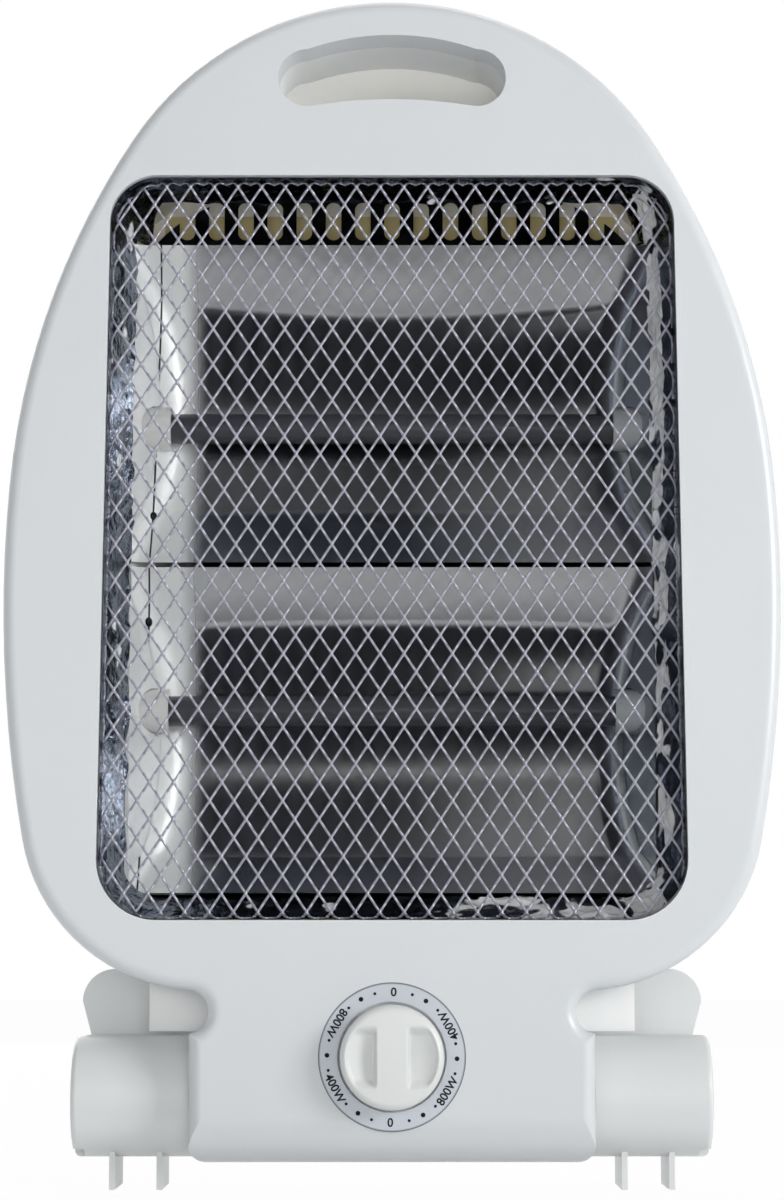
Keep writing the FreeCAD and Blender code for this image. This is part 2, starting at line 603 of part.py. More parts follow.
# Slanted end plates with a flange on the heat shield and a hole for each tube's cap.
def reflector_ends():
    body = new_body("reflector_end_right")
    bend = "(shield_depth - sheet)"
    thick = f"(sheet * {end_lean})"
    front_x, bend_x = f"({slant('lip_depth')} + seat_gap)", f"({slant(bend)} + seat_gap)"
    profile = [
        (front_x, back("lip_depth"), "0", 0), (bend_x, back(bend), "0", 0),
        (bend_x, back("shield_depth"), "0", 0), (f"{bend_x} + end_flange", back("shield_depth"), "0", 0),
        (f"{bend_x} + end_flange", back(bend), "0", 0), (f"{bend_x} + {thick}", back(bend), "0", 0),
        (f"{front_x} + {thick}", back("lip_depth"), "0", 0),
    ]
    pad(body, "XY", trough_foot, f"{ridge_z} + ridge_gap / 2 + trough_height", [profile], "plate")
    holes = [circle(back("tube_depth"), z, "cap_radius + seat_gap") for z in TUBES.values()]
    cut(body, "YZ", "0", "trough_half + overrun", holes, "cap_holes")
    cut(body, "XZ", f"{bend} - head_height - sheet", "shield_depth + overrun",
        rings(END_SCREWS[:2], "screw_radius + screw_slack"), "screw_holes")
    mirror("reflector_end_left", body)


def heating_tubes():
    cap_stop = "(cap_start + cap_length)"
    tube_stop = f"({cap_stop} - cap_end - seat_gap)"
    y = back("tube_depth")
    tabs = []
    for name, z in TUBES.items():
        outer = rod(f"{name}_glass", ALONG_X, f"-{tube_stop}", tube_stop, None, y, z, "tube_radius")
        bore = rod(f"{name}_bore", ALONG_X, f"-{tube_stop} - overrun", f"{tube_stop} + overrun", None, y, z,
                   "tube_radius - tube_wall")
        keep(f"quartz_tube_{name}", joined("Cut", f"quartz_tube_{name}", outer, bore))
        winding = rod(f"{name}_winding", ALONG_X, f"-{tube_stop}", tube_stop, None, y, z, "element_radius")
        lead = rod(f"{name}_lead", ALONG_X, f"-{cap_stop}", cap_stop, None, y, z, "lead_radius")
        keep(f"heating_element_{name}", joined("Fuse", f"heating_element_{name}", winding, lead))
        stock = rod(f"{name}_cap_stock", ALONG_X, "cap_start", cap_stop, None, y, z, "cap_radius")
        socket = rod(f"{name}_cap_socket", ALONG_X, "cap_start - overrun", f"{cap_stop} - cap_end", None, y, z,
                     "tube_radius + run_gap")
        eye = rod(f"{name}_cap_eye", ALONG_X, "cap_start", f"{cap_stop} + overrun", None, y, z,
                  "lead_radius + run_gap")
        hollow = joined("Fuse", f"{name}_cap_hollow", socket, eye)
        cap = keep(f"tube_cap_{name}_right", joined("Cut", f"tube_cap_{name}_right", stock, hollow))
        mirror(f"tube_cap_{name}_left", cap)
        for x0, x1 in ((cap_stop, f"{cap_stop} + tab_length"), (f"-{cap_stop} - tab_length", f"-{cap_stop}")):
            tabs.append(block(f"{name}_tab", x0, x1, f"{y} - sheet / 2", f"{y} + sheet / 2",
                              f"{z} - tab_width / 2", f"{z} + tab_width / 2"))
    group("tube_terminals", tabs)


def dial():
    body = new_body("dial_ring")
    pad(body, "XZ", "0", "dial_recess",
        [circle("0", dial_z, "dial_radius"), circle("0", dial_z, "knob_radius + ring_gap")], "ring")

    body = new_body("knob")
    front = "-knob_proud"
    pad(body, "XZ", front, "-knob_gap", [circle("0", dial_z, "knob_radius")], "disc")
    soften(body, "knob_round", lies_at("Y", back(front)), "edge")
    tall = "sqrt(scoop_radius^2 - bar_half^2)"
    scoops = [
        [("bar_half", f"{dial_z} + {tall}", "scoop_radius", -1), ("bar_half", f"{dial_z} - {tall}", "0", 0)],
        [("-bar_half", f"{dial_z} - {tall}", "scoop_radius", -1), ("-bar_half", f"{dial_z} + {tall}", "0", 0)],
    ]
    cut(body, "XZ", f"{front} - overrun", f"{front} + scoop_depth", scoops, "scoops")
    cut(body, "XZ", "-shaft_grip - knob_gap", "overrun", [circle("0", dial_z, "shaft_radius")], "shaft_socket")

    shaft = rod("switch_shaft", ALONG_Y, back("-shaft_grip - knob_gap"), back("seat_thick + shaft_reach"),
                "0", None, dial_z, "shaft_radius")
    keep("switch_shaft", shaft)

    body = new_body("rotary_switch")
    stop = "(seat_thick + switch_depth)"
    pad(body, "XZ", "seat_thick", stop,
        [rectangle("-switch_half", f"{dial_z} - switch_half", "switch_half", f"{dial_z} + switch_half")],
        "case")
    cut(body, "XZ", "seat_thick - overrun", "seat_thick + shaft_reach + seat_gap",
        [circle("0", dial_z, "shaft_radius + run_gap")], "shaft_bore")
    cut(body, "XZ", "seat_thick - overrun", "seat_thick + screw_bite",
        rings(SWITCH_SCREWS, "screw_radius + run_gap"),
        "screw_bores")
    screws("switch_screws", SWITCH_SCREWS, "dial_recess", "seat_thick + screw_bite - seat_gap", True)


# Parts beside the switch, seated on the rear wall of the block, and the bush for the cord.
def wiring():
    stop = "(rim_depth - wall)"
    low = f"({block_foot} + wall + seat_gap)"
    for label, x in (("terminal_block", "module_offset"), ("tip_over_switch", "-module_offset")):
        keep(label, block(label, f"{x} - module_half", f"{x} + module_half", back(f"{stop} - module_depth"),
                          back(stop), low, f"{low} + module_height"))
    body = new_body("cord_inlet")
    z = f"{block_foot} + inlet_rise"
    pad(body, "XZ", stop, "rim_depth", [circle("0", z, "inlet_radius")], "barrel")
    pad(body, "XZ", "rim_depth", "rim_depth + inlet_proud",
        [circle("0", z, "inlet_radius + inlet_flange")], "flange")
    cut(body, "XZ", f"{stop} - overrun", "rim_depth + inlet_proud + overrun",
        [circle("0", z, "inlet_bore")], "bore")


def feet():
    inner, outer = "(block_half + hub_gap)", "(block_half + hub_gap + hub_length)"
    y = back("hub_depth")
    rear = "(hub_depth + hub_radius + paddle - paddle_sink)"
    body = new_body("right_foot")
    pad(body, "YZ", inner, outer, [circle(y, "hub_height", "hub_radius")], "barrel")
    soften(body, "hub_round", lies_at("X", outer), "rim")
    top = "(hub_height + paddle_rise)"
    side = f"({top} - paddle_round)"
    paddle = [
        (inner, "hub_height", "0", 0), (inner, side, "paddle_round", -1),
        (f"{inner} + paddle_round", top, "paddle_crown", -1),
        (f"{outer} - paddle_round", top, "paddle_round", -1),
        (outer, side, "0", 0), (f"{outer} - paddle_waist", hub_top, "0", 0), (outer, "hub_height", "0", 0),
    ]
    pad(body, "XZ", f"{rear} - paddle", rear, [paddle], "paddle")
    front = back("hub_depth - rib_front")
    profile = [(front, "0", "0", 0), (back(rear), "0", "0", 0), (back(rear), "hub_height", "0", 0),
               (front, "hub_height", "0", 0)]
    for name, x in (("inner_rib", f"{inner} + rib_inset"), ("outer_rib", f"{inner} + rib_inset + rib_pitch")):
        pad(body, "YZ", f"{x} - rib / 2", f"{x} + rib / 2", [profile], name)
    cut(body, "YZ", f"{inner} + hub_end", f"{outer} + overrun", [circle(y, "hub_height", "hub_radius - hub_wall")],
        "hollow")
    cut(body, "YZ", f"{inner} - overrun", f"{inner} + hub_end + overrun",
        [circle(y, "hub_height", "axle_radius + run_gap")], "bore")
    low = "(hub_height - hub_radius)"
    cut(body, "XZ", "hub_depth - hub_radius - overrun", "hub_depth",
        [rectangle(f"{outer} - pry_width", f"{low} - overrun", f"{outer} + overrun", f"{low} + pry_height")],
        "pry_slot")
    mirror("left_foot", body)

    lid = rod("right_foot_lid", ALONG_X, f"{outer} - lid_recess - lid", f"{outer} - lid_recess",
              None, y, "hub_height", "hub_radius - hub_wall - run_gap")
    keep("right_foot_lid", lid)
    mirror("left_foot_lid", lid)

    wall_face, end = "(block_half - wall)", f"({inner} + hub_end + axle_proud)"
    flange = rod("axle_flange", ALONG_X, f"{wall_face} - axle_flange", wall_face, None, y, "hub_height",
                 "axle_flange_radius")
    shank = rod("axle_shank", ALONG_X, wall_face, end, None, y, "hub_height", "axle_radius")
    pilot = rod("axle_pilot", ALONG_X, f"{end} - screw_bite", f"{end} + overrun", None, y, "hub_height",
                "screw_radius + run_gap")
    axle = keep("right_axle", joined("Cut", "right_axle", joined("Fuse", "axle_stock", flange, shank), pilot))
    mirror("left_axle", axle)

    disc = rod("washer_disc", ALONG_X, end, f"{end} + washer", None, y, "hub_height", "washer_radius")
    eye = rod("washer_eye", ALONG_X, end, f"{end} + washer + overrun", None, y, "hub_height",
              "screw_radius + run_gap")
    washer = keep("right_washer", joined("Cut", "right_washer", disc, eye))
    mirror("left_washer", washer)
    head = rod("pivot_head", ALONG_X, f"{end} + washer", f"{end} + washer + head_height", None, y, "hub_height",
               "head_radius")
    stem = rod("pivot_stem", ALONG_X, f"{end} - screw_bite + seat_gap", f"{end} + washer", None, y, "hub_height",
               "screw_radius")
    screw = keep("right_pivot_screw", joined("Fuse", "right_pivot_screw", head, stem))
    mirror("left_pivot_screw", screw)


# Every piece, then a look at each object before anything is written.
front_panel()
rear_cover()
guard()
foil_liner()
heat_shield()
reflectors()
reflector_ends()
heating_tubes()
dial()
wiring()
feet()
screws("housing_screws", BOSSES, "rim_depth", "panel_depth - screw_bite + seat_gap", False)
screws("shield_screws", SHIELD_HOLES, "shield_depth", "body_depth - wall - seat_gap", True)
screws("end_screws", END_SCREWS, "(shield_depth - sheet)", "shield_depth + sheet + wall", True)
doc.recompute()

failed = [thing.Name for thing in doc.Objects if "Invalid" in thing.State or "Error" in thing.State]
for label, piece in PIECES.items():
    if piece.Shape.isNull() or not piece.Shape.isValid() or not piece.Shape.Solids:
        failed.append(label)
if failed:
    raise RuntimeError("not built: " + ", ".join(failed))

os.makedirs("parts", exist_ok=True)
for label, piece in PIECES.items():
    piece.Shape.exportStep(f"parts/{label}.step")
print(len(PIECES), "pieces written")
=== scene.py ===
import bmesh
import bpy
import math
import numpy as np
from mathutils import Euler, Matrix, Vector, noise


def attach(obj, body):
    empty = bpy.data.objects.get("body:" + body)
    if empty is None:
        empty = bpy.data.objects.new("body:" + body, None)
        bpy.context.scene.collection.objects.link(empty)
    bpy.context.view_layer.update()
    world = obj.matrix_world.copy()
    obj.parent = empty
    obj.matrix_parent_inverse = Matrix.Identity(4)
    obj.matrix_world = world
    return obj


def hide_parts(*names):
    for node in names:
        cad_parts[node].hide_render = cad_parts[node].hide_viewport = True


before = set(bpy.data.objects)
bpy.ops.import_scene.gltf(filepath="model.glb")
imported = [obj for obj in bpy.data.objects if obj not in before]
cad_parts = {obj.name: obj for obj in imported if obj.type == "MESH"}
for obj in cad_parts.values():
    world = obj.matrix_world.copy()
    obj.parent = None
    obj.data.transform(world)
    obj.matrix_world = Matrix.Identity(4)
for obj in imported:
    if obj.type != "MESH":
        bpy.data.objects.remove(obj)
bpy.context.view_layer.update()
scene = bpy.context.scene
mm = 0.001
print("frame loaded:", len(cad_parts), "nodes")


# helpers

def addNode(tree, kind, inputs={}, **settings):
    node = tree.nodes.new(kind)
    for name, setting in settings.items():
        setattr(node, name, setting)
    for name, source in inputs.items():
        if isinstance(source, bpy.types.NodeSocket):
            tree.links.new(source, node.inputs[name])
        else:
            node.inputs[name].default_value = source
    return node


def calc(tree, operation, *values):
    return addNode(tree, "ShaderNodeMath", dict(enumerate(values)), operation=operation).outputs[0]


# a value that runs from low to high while its source runs from start to end
def ramp(tree, source, start, end, low=0.0, high=1.0, **settings):
    return addNode(tree, "ShaderNodeMapRange", {"Value": source, "From Min": start, "From Max": end, "To Min": low,
                                                "To Max": high}, **settings).outputs[0]


def linear(hexText):
    parts = [int(hexText[i:i + 2], 16) / 255 for i in (1, 3, 5)]
    return tuple(c / 12.92 if c <= 0.04045 else ((c + 0.055) / 1.055) ** 2.4 for c in parts) + (1.0,)


def makeObject(name, mesh, material=None, smooth=True):
    piece = bpy.data.objects.new(name, mesh)
    scene.collection.objects.link(piece)
    if material:
        mesh.materials.clear()
        mesh.materials.append(material)
    mesh.polygons.foreach_set("use_smooth", [smooth] * len(mesh.polygons))
    return piece


def meshFrom(name, points, faces):
    mesh = bpy.data.meshes.new(name)
    mesh.from_pydata([tuple(p) for p in points], [], faces)
    mesh.update()
    return mesh


def bakedMesh(piece):
    graph = bpy.context.evaluated_depsgraph_get()
    return bpy.data.meshes.new_from_object(piece.evaluated_get(graph))


# delete faces, join points that lie together, turn the faces outwards
def cleanMesh(mesh, drop=(), weld=0.0, turnOut=True):
    work = bmesh.new()
    work.from_mesh(mesh)
    work.faces.ensure_lookup_table()
    bmesh.ops.delete(work, geom=[work.faces[i] for i in drop], context="FACES")
    if weld:
        bmesh.ops.remove_doubles(work, verts=work.verts, dist=weld)
    if turnOut:
        bmesh.ops.recalc_face_normals(work, faces=work.faces)
    work.to_mesh(mesh)
    work.free()
    mesh.update()


def dress(material, *nodeNames):
    for name in nodeNames:
        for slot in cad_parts[name].material_slots:
            slot.material = material


# camera: stands a metre off, low, and looks up 7 degrees

cameraSet = {"place": (0.0, -1.0225, 0.0732), "lookUp": 7.0, "lens": 90.0, "sensor": 36.0}
camera = bpy.data.objects.new("camera", bpy.data.cameras.new("camera"))
scene.collection.objects.link(camera)
camera.data.sensor_fit = "VERTICAL"
camera.data.sensor_height = cameraSet["sensor"]
camera.data.lens = cameraSet["lens"]
camera.location = cameraSet["place"]
camera.rotation_euler = Euler((math.radians(90 + cameraSet["lookUp"]), 0, 0))
scene.camera = camera
scene.view_settings.view_transform = "Standard"


# studio: pale floor, white surroundings, soft lamps, and dark cards that only reflections see

studio = {
    "floorHex": "#f4f5f6", "floorReach": 6.0, "fill": 0.27, "floorGlow": 0.97,
    "lamps": [   # name, place, size, watts, whether polished metal shows it
        ("keyLamp", (1.5, -0.95, 0.55), (0.6, 0.6), 18.0, True),
        ("faceLamp", (0.2, -1.6, 0.12), (0.5, 0.3), 2.2, False),   # soft fill from the front
        ("footLamp", (-0.15, -0.8, 0.03), (0.9, 0.5), 3.5, False),
        ("stripLamp", (0.0, -1.7, 0.63), (1.0, 0.08), 0.2, True),
        ("topLamp", (0.0, 0.5, 1.9), (1.2, 1.2), 8.0, True),
        ("rearLamp", (-0.6, 1.6, 0.9), (1.4, 1.4), 11.0, True),
    ],
    "aim": (0.0, 0.0, 0.2),
    # cards: wall in front, roof over it, the floor from a short way in front of the heater, a low fence, a side wall
    "cardHex": "#17181a",
    "cards": [
        [(-5, -2.2, -0.4), (4, -2.2, -0.4), (4, -2.2, 4.5), (-5, -2.2, 4.5)],
        [(-5, -2.2, 4.5), (4, -2.2, 4.5), (4, 0.6, 4.5), (-5, 0.6, 4.5)],
        [(-5, -2.2, 0.002), (4, -2.2, 0.002), (4, -0.25, 0.002), (-5, -0.25, 0.002)],
        [(-5, -0.105, 0.002), (4, -0.105, 0.002), (4, -0.045, 0.002), (-5, -0.045, 0.002)],
        [(-5, -0.143, 0.002), (4, -0.143, 0.002), (4, -0.143, 0.085), (-5, -0.143, 0.085)],
        [(-5, -2.2, 0), (-5, 1.0, 0), (-5, 1.0, 4.5), (-5, -2.2, 4.5)],
    ],
    # cards in front of these that grow brighter to the right: where that starts and ends, and how bright it gets
    "paleCards": [
        ("highCard", [(0, -2.19, 1.0), (0.6, -2.19, 1.0), (0.6, -2.19, 4.4), (0, -2.19, 4.4)], (0.04, 0.2), 0.26),
        ("midCard", [(0, -2.19, 0.45), (0.6, -2.19, 0.45), (0.6, -2.19, 1.0), (0, -2.19, 1.0)], (0.04, 0.2), 0.12),
        ("roofCard", [(0, -2.19, 4.4), (0.9, -2.19, 4.4), (0.9, 0.6, 4.4), (0, 0.6, 4.4)], (0.08, 0.34), 0.28),
        ("glareCard", [(0, -0.66, 0.004), (0.3, -0.66, 0.004), (0.3, -0.36, 0.004), (0, -0.36, 0.004)],
         (0.03, 0.11), 0.42),
    ],
}


# cards that only reflections see, of one brightness or growing brighter to the right
def raiseCards(name, sheets, colour, rise=None, level=1.0):
    paint = bpy.data.materials.new(name)
    paint.use_nodes = True
    tree = paint.node_tree
    tree.nodes.clear()
    if rise:
        place = addNode(tree, "ShaderNodeTexCoord").outputs["Object"]
        level = ramp(tree, addNode(tree, "ShaderNodeSeparateXYZ", {0: place}).outputs["X"], *rise, 0.0, level)
    shine = addNode(tree, "ShaderNodeEmission", {"Color": colour, "Strength": level})
    addNode(tree, "ShaderNodeOutputMaterial", {"Surface": shine.outputs[0]})
    corners = [corner for sheet in sheets for corner in sheet]
    faces = [tuple(range(4 * i, 4 * i + 4)) for i in range(len(sheets))]
    card = makeObject(name, meshFrom(name, corners, faces), paint)
    card.visible_camera = False
    card.visible_diffuse = False
    card.visible_shadow = False
    card.visible_transmission = False


def buildStudio():
    world = bpy.data.worlds.new("studioWorld")
    scene.world = world
    world.use_nodes = True
    tree = world.node_tree
    tree.nodes.clear()
    path = addNode(tree, "ShaderNodeLightPath")
    seen = calc(tree, "MAXIMUM", path.outputs["Is Camera Ray"], path.outputs["Is Glossy Ray"])
    seen = calc(tree, "MAXIMUM", seen, path.outputs["Is Transmission Ray"])
    level = ramp(tree, seen, 0.0, 1.0, studio["fill"], 1.0)
    sky = addNode(tree, "ShaderNodeBackground", {"Color": (1, 1, 1, 1), "Strength": level})
    addNode(tree, "ShaderNodeOutputWorld", {"Surface": sky.outputs[0]})

    # painted studio floor: matt, so near to white that only the shadow tells it from the backdrop
    floorPaint = bpy.data.materials.new("studioFloorPaint")
    floorPaint.use_nodes = True
    tree = floorPaint.node_tree
    tree.nodes.clear()
    path = addNode(tree, "ShaderNodeLightPath")
    paint = addNode(tree, "ShaderNodeBsdfDiffuse", {"Color": linear(studio["floorHex"])})
    glow = addNode(tree, "ShaderNodeEmission", {"Color": (1, 1, 1, 1), "Strength": 1.0})
    seen = calc(tree, "MAXIMUM", path.outputs["Is Camera Ray"], path.outputs["Is Glossy Ray"])
    share = calc(tree, "MULTIPLY", seen, studio["floorGlow"])
    mixed = addNode(tree, "ShaderNodeMixShader", {0: share, 1: paint.outputs[0], 2: glow.outputs[0]})
    addNode(tree, "ShaderNodeOutputMaterial", {"Surface": mixed.outputs[0]})
    reach = studio["floorReach"]
    corners = [(-reach, -reach, 0), (reach, -reach, 0), (reach, reach, 0), (-reach, reach, 0)]
    makeObject("floor", meshFrom("floor", corners, [(0, 1, 2, 3)]), floorPaint)

    # dark cards round the camera, as in product pictures of polished metal
    raiseCards("darkCard", studio["cards"], linear(studio["cardHex"]))
    for name, sheet, rise, level in studio["paleCards"]:
        raiseCards(name, [sheet], (1, 1, 1, 1), rise, level)

    for name, place, size, power, mirrored in studio["lamps"]:
        lamp = bpy.data.lights.new(name, "AREA")
        lamp.shape = "RECTANGLE"
        lamp.size, lamp.size_y = size
        lamp.energy = power
        holder = bpy.data.objects.new(name, lamp)
        scene.collection.objects.link(holder)
        holder.location = place
        holder.visible_glossy = mirrored
        holder.rotation_euler = (Vector(studio["aim"]) - Vector(place)).to_track_quat("-Z", "Y").to_euler()


buildStudio()
print("studio built")


# materials

def startMaterial(name):
    material = bpy.data.materials.new(name)
    material.use_nodes = True
    tree = material.node_tree
    tree.nodes.clear()
    shader = addNode(tree, "ShaderNodeBsdfPrincipled")
    addNode(tree, "ShaderNodeOutputMaterial", {"Surface": shader.outputs[0]})
    place = addNode(tree, "ShaderNodeTexCoord")
    return material, tree, shader, place.outputs["Object"]


def noiseAt(tree, place, grain, detail=3.0, stretch=None):
    if stretch:
        place = addNode(tree, "ShaderNodeMapping", {"Vector": place, "Scale": stretch}).outputs[0]
    return addNode(tree, "ShaderNodeTexNoise", {"Vector": place, "Scale": 1 / (grain * mm), "Detail": detail})


# shade a colour between two hex values, and roughness between two numbers, by one noise
def vary(tree, shader, field, hexes, roughs):
    mix = addNode(tree, "ShaderNodeMix", {0: field, 6: linear(hexes[0]), 7: linear(hexes[1])}, data_type="RGBA")
    tree.links.new(mix.outputs[2], shader.inputs["Base Color"])
    tree.links.new(ramp(tree, field, 0.25, 0.75, *roughs), shader.inputs["Roughness"])


# lay one more colour over a shader's own, where share says so
def tintOver(tree, shader, share, hexText):
    plain = shader.inputs["Base Color"].links[0].from_socket
    mix = addNode(tree, "ShaderNodeMix", {0: share, 6: plain, 7: linear(hexText)}, data_type="RGBA")
    tree.links.new(mix.outputs[2], shader.inputs["Base Color"])


def bumpFrom(tree, shader, height, depth, strength=1.0):
    bump = addNode(tree, "ShaderNodeBump", {"Height": height, "Distance": depth * mm, "Strength": strength})
    tree.links.new(bump.outputs[0], shader.inputs["Normal"])


# injection-moulded ABS: opaque, satin gloss, with a very shallow ripple from the tool
def mouldedPlastic(name, hexes, roughs, grain, depth):
    material, tree, shader, place = startMaterial(name)
    shader.inputs["IOR"].default_value = 1.53
    broad = noiseAt(tree, place, 45.0)
    vary(tree, shader, broad.outputs["Fac"], hexes, roughs)
    fine = noiseAt(tree, place, grain, 2.0)
    bumpFrom(tree, shader, fine.outputs["Fac"], depth, 0.5)
    return material


whiteAbs = mouldedPlastic("whiteAbsSatin", ("#cfd3d6", "#d4d7d9"), (0.30, 0.38), 1.6, 0.012)
coverAbs = mouldedPlastic("whiteAbsMatt", ("#ebecec", "#efefed"), (0.46, 0.56), 0.7, 0.03)
footAbs = mouldedPlastic("whiteAbsFoot", ("#d6d9da", "#dadcdb"), (0.28, 0.36), 1.6, 0.012)
knobAbs = mouldedPlastic("whiteAbsKnob", ("#d8dbda", "#dddfdd"), (0.30, 0.36), 1.4, 0.01)
blackPlastic = mouldedPlastic("blackNylon", ("#17181a", "#1f2022"), (0.45, 0.6), 0.6, 0.03)
naturalNylon = mouldedPlastic("naturalNylon", ("#dcd8cc", "#e4e1d6"), (0.4, 0.5), 0.9, 0.02)


# sheet metals: colour is the reflectance, grain runs along the sheet
def sheetMetal(name, hexes, roughs, grain, stretch, depth, metal=1.0):
    material, tree, shader, place = startMaterial(name)
    shader.inputs["Metallic"].default_value = metal
    streaks = noiseAt(tree, place, grain, 4.0, stretch)
    vary(tree, shader, streaks.outputs["Fac"], hexes, roughs)
    bumpFrom(tree, shader, streaks.outputs["Fac"], depth, 0.6)
    return material


polishedAluminium = sheetMetal("polishedAluminium", ("#b2b5b7", "#bfc1c3"), (0.15, 0.20), 30.0, (0.3, 1, 1), 0.004)
# mill-finish aluminium, on the left end plate only: paler and less metallic than the polished sheet, a painted
# highlight for the light falling on the left end
litEndPlateAluminium = sheetMetal("millAluminiumLitEnd", ("#dfe2e3", "#eef0f0"), (0.34, 0.46), 9.0, (1, 1, 0.15), 0.01, 0.3)
platedSteel = sheetMetal("zincPlatedSteel", ("#b9bac0", "#d0d0d8"), (0.28, 0.4), 2.0, (1, 1, 1), 0.01)
guardSteel = sheetMetal("brightPlatedSteel", ("#c3c2d0", "#d6d5e2"), (0.32, 0.42), 1.5, (1, 1, 1), 0.01, 0.5)
plainBrass = sheetMetal("plainBrass", ("#b08f4c", "#c9a860"), (0.25, 0.4), 2.0, (1, 1, 1), 0.01)
# plain dark steel, used for the two rivets at the left end
darkRivetSteel = sheetMetal("darkRivetSteel", ("#202224", "#303336"), (0.4, 0.5), 1.0, (1, 1, 1), 0.01)
resistanceWire = sheetMetal("resistanceWire", ("#6f6c69", "#86827d"), (0.4, 0.5), 1.0, (1, 1, 1), 0.01)


# galvanised steel: spangles of zinc a few millimetres across
def galvanisedSheet():
    material, tree, shader, place = startMaterial("galvanisedSheet")
    shader.inputs["Metallic"].default_value = 1.0
    spangle = addNode(tree, "ShaderNodeTexVoronoi", {"Vector": place, "Scale": 1 / (5 * mm)})
    tone = addNode(tree, "ShaderNodeSeparateColor", {0: spangle.outputs["Color"]})
    vary(tree, shader, tone.outputs[0], ("#3a3c40", "#4d5054"), (0.3, 0.45))
    return material


galvanised = galvanisedSheet()

# the thin rear moulding lets a little warm light through
coverShader = coverAbs.node_tree.nodes["Principled BSDF"]
coverShader.inputs["Subsurface Weight"].default_value = 0.35
coverShader.inputs["Subsurface Radius"].default_value = (1.0, 0.8, 0.45)
coverShader.inputs["Subsurface Scale"].default_value = 4 * mm


# its inner face behind the shield is browned by the heat
tintSet = {"middle": (0.0, 37.5, 219.0), "half": (82.0, 0.8, 124.0), "hex": "#d2ca98"}


def heatTint(material, shader):
    tree = material.node_tree
    place = addNode(tree, "ShaderNodeTexCoord").outputs["Object"]
    middle = tuple(c * mm for c in tintSet["middle"])
    away = addNode(tree, "ShaderNodeVectorMath", {0: place, 1: middle}, operation="SUBTRACT")
    away = addNode(tree, "ShaderNodeVectorMath", {0: away.outputs[0]}, operation="ABSOLUTE")
    away = addNode(tree, "ShaderNodeSeparateXYZ", {0: away.outputs[0]})
    near = [calc(tree, "LESS_THAN", away.outputs[k], half * mm) for k, half in enumerate(tintSet["half"])]
    share = calc(tree, "MULTIPLY", calc(tree, "MULTIPLY", near[0], near[1]), near[2])
    tintOver(tree, shader, share, tintSet["hex"])


heatTint(coverAbs, coverShader)


# kitchen-type aluminium foil: mirror smooth, broken into small flat facets by its creases, its colour darkened as
# painted shade of the deep cavity
foilLook = {"crease": 4.0, "fine": 2.0, "glintGrain": 15.0, "glintHex": "#fbfcfd", "glintMetal": 0.05,
            "glintEdge": (0.66, 0.69), "rightGlintAcross": (80.0, 86.0), "rightGlintBehind": (-13.0, -10.0), "rightGlint": 0.2,
            "footAcross": (5.0, 50.0), "footBelow": (100.0, 97.0), "footGlint": 0.22}


def crumpledFoil():
    s = foilLook
    material, tree, shader, place = startMaterial("aluminiumFoil")
    crease = addNode(tree, "ShaderNodeTexVoronoi", {"Vector": place, "Scale": 1 / (s["crease"] * mm)})
    fine = noiseAt(tree, place, s["fine"], 4.0).outputs["Fac"]
    # painted shade: the foil's own colour is a dark blue-grey for the shade of the cavity it lines
    vary(tree, shader, fine, ("#5c6575", "#8b94a3"), (0.10, 0.2))
    bumpFrom(tree, shader, calc(tree, "ADD", crease.outputs["Distance"], fine), 0.8, 0.7)
    # painted highlights: white, nearly non-metal patches here and there, most of all along the right edge and the
    # right of the foot, for glints of light on the creased foil
    glintField = noiseAt(tree, place, s["glintGrain"], 2.0).outputs["Fac"]
    at = addNode(tree, "ShaderNodeSeparateXYZ", {0: place})
    across = ramp(tree, at.outputs["X"], *(x * mm for x in s["rightGlintAcross"]), 0.0, s["rightGlint"])
    behind = ramp(tree, at.outputs["Y"], *(y * mm for y in s["rightGlintBehind"]))
    glintField = calc(tree, "MULTIPLY_ADD", across, behind, glintField)
    across = ramp(tree, at.outputs["X"], *(x * mm for x in s["footAcross"]), 0.0, s["footGlint"])
    below = ramp(tree, at.outputs["Z"], *(z * mm for z in s["footBelow"]))
    glintField = calc(tree, "MULTIPLY_ADD", below, across, glintField)
    share = ramp(tree, glintField, *s["glintEdge"])
    tintOver(tree, shader, share, s["glintHex"])
    tree.links.new(ramp(tree, share, 0.0, 1.0, 1.0, s["glintMetal"]), shader.inputs["Metallic"])
    return material


foil = crumpledFoil()


# milky quartz: drawn tube, white haze in the glass, streaks along the draw
def milkyQuartz():
    material, tree, shader, place = startMaterial("milkyQuartzGlass")
    shader.inputs["IOR"].default_value = 1.46
    shader.inputs["Transmission Weight"].default_value = 0.6
    streaks = noiseAt(tree, place, 3.0, 3.0, (0.08, 1, 1))
    vary(tree, shader, streaks.outputs["Fac"], ("#585a61", "#6e7178"), (0.16, 0.28))
    return material


quartz = milkyQuartz()


# glazed steatite ceramic: white, glassy skin over a slightly pitted body
def glazedCeramic(name, hexes):
    material, tree, shader, place = startMaterial(name)
    shader.inputs["IOR"].default_value = 1.55
    shader.inputs["Coat Weight"].default_value = 0.4
    shader.inputs["Coat Roughness"].default_value = 0.1
    pits = noiseAt(tree, place, 1.2, 3.0)
    vary(tree, shader, pits.outputs["Fac"], hexes, (0.25, 0.4))
    bumpFrom(tree, shader, pits.outputs["Fac"], 0.03, 0.5)
    return material


ceramic = glazedCeramic("glazedSteatite", ("#d2d2d1", "#dededc"))
# the right caps get a greyer copy of the glaze: painted shade, as the right wall shades them
shadedCeramic = glazedCeramic("shadedSteatite", ("#9b9fa3", "#aeb2b5"))   # greyer at the right, as in the photo


dialPlace = (0.0, 44.4)   # middle of the dial, across and up


# silver lacquer on plastic: fine metal flake in a satin film, with a painted shade band at the ring's outer edge
ringLook = {"flake": 0.35, "rimShade": (23.5, 24.1), "rimShadeHex": "#5e646c"}


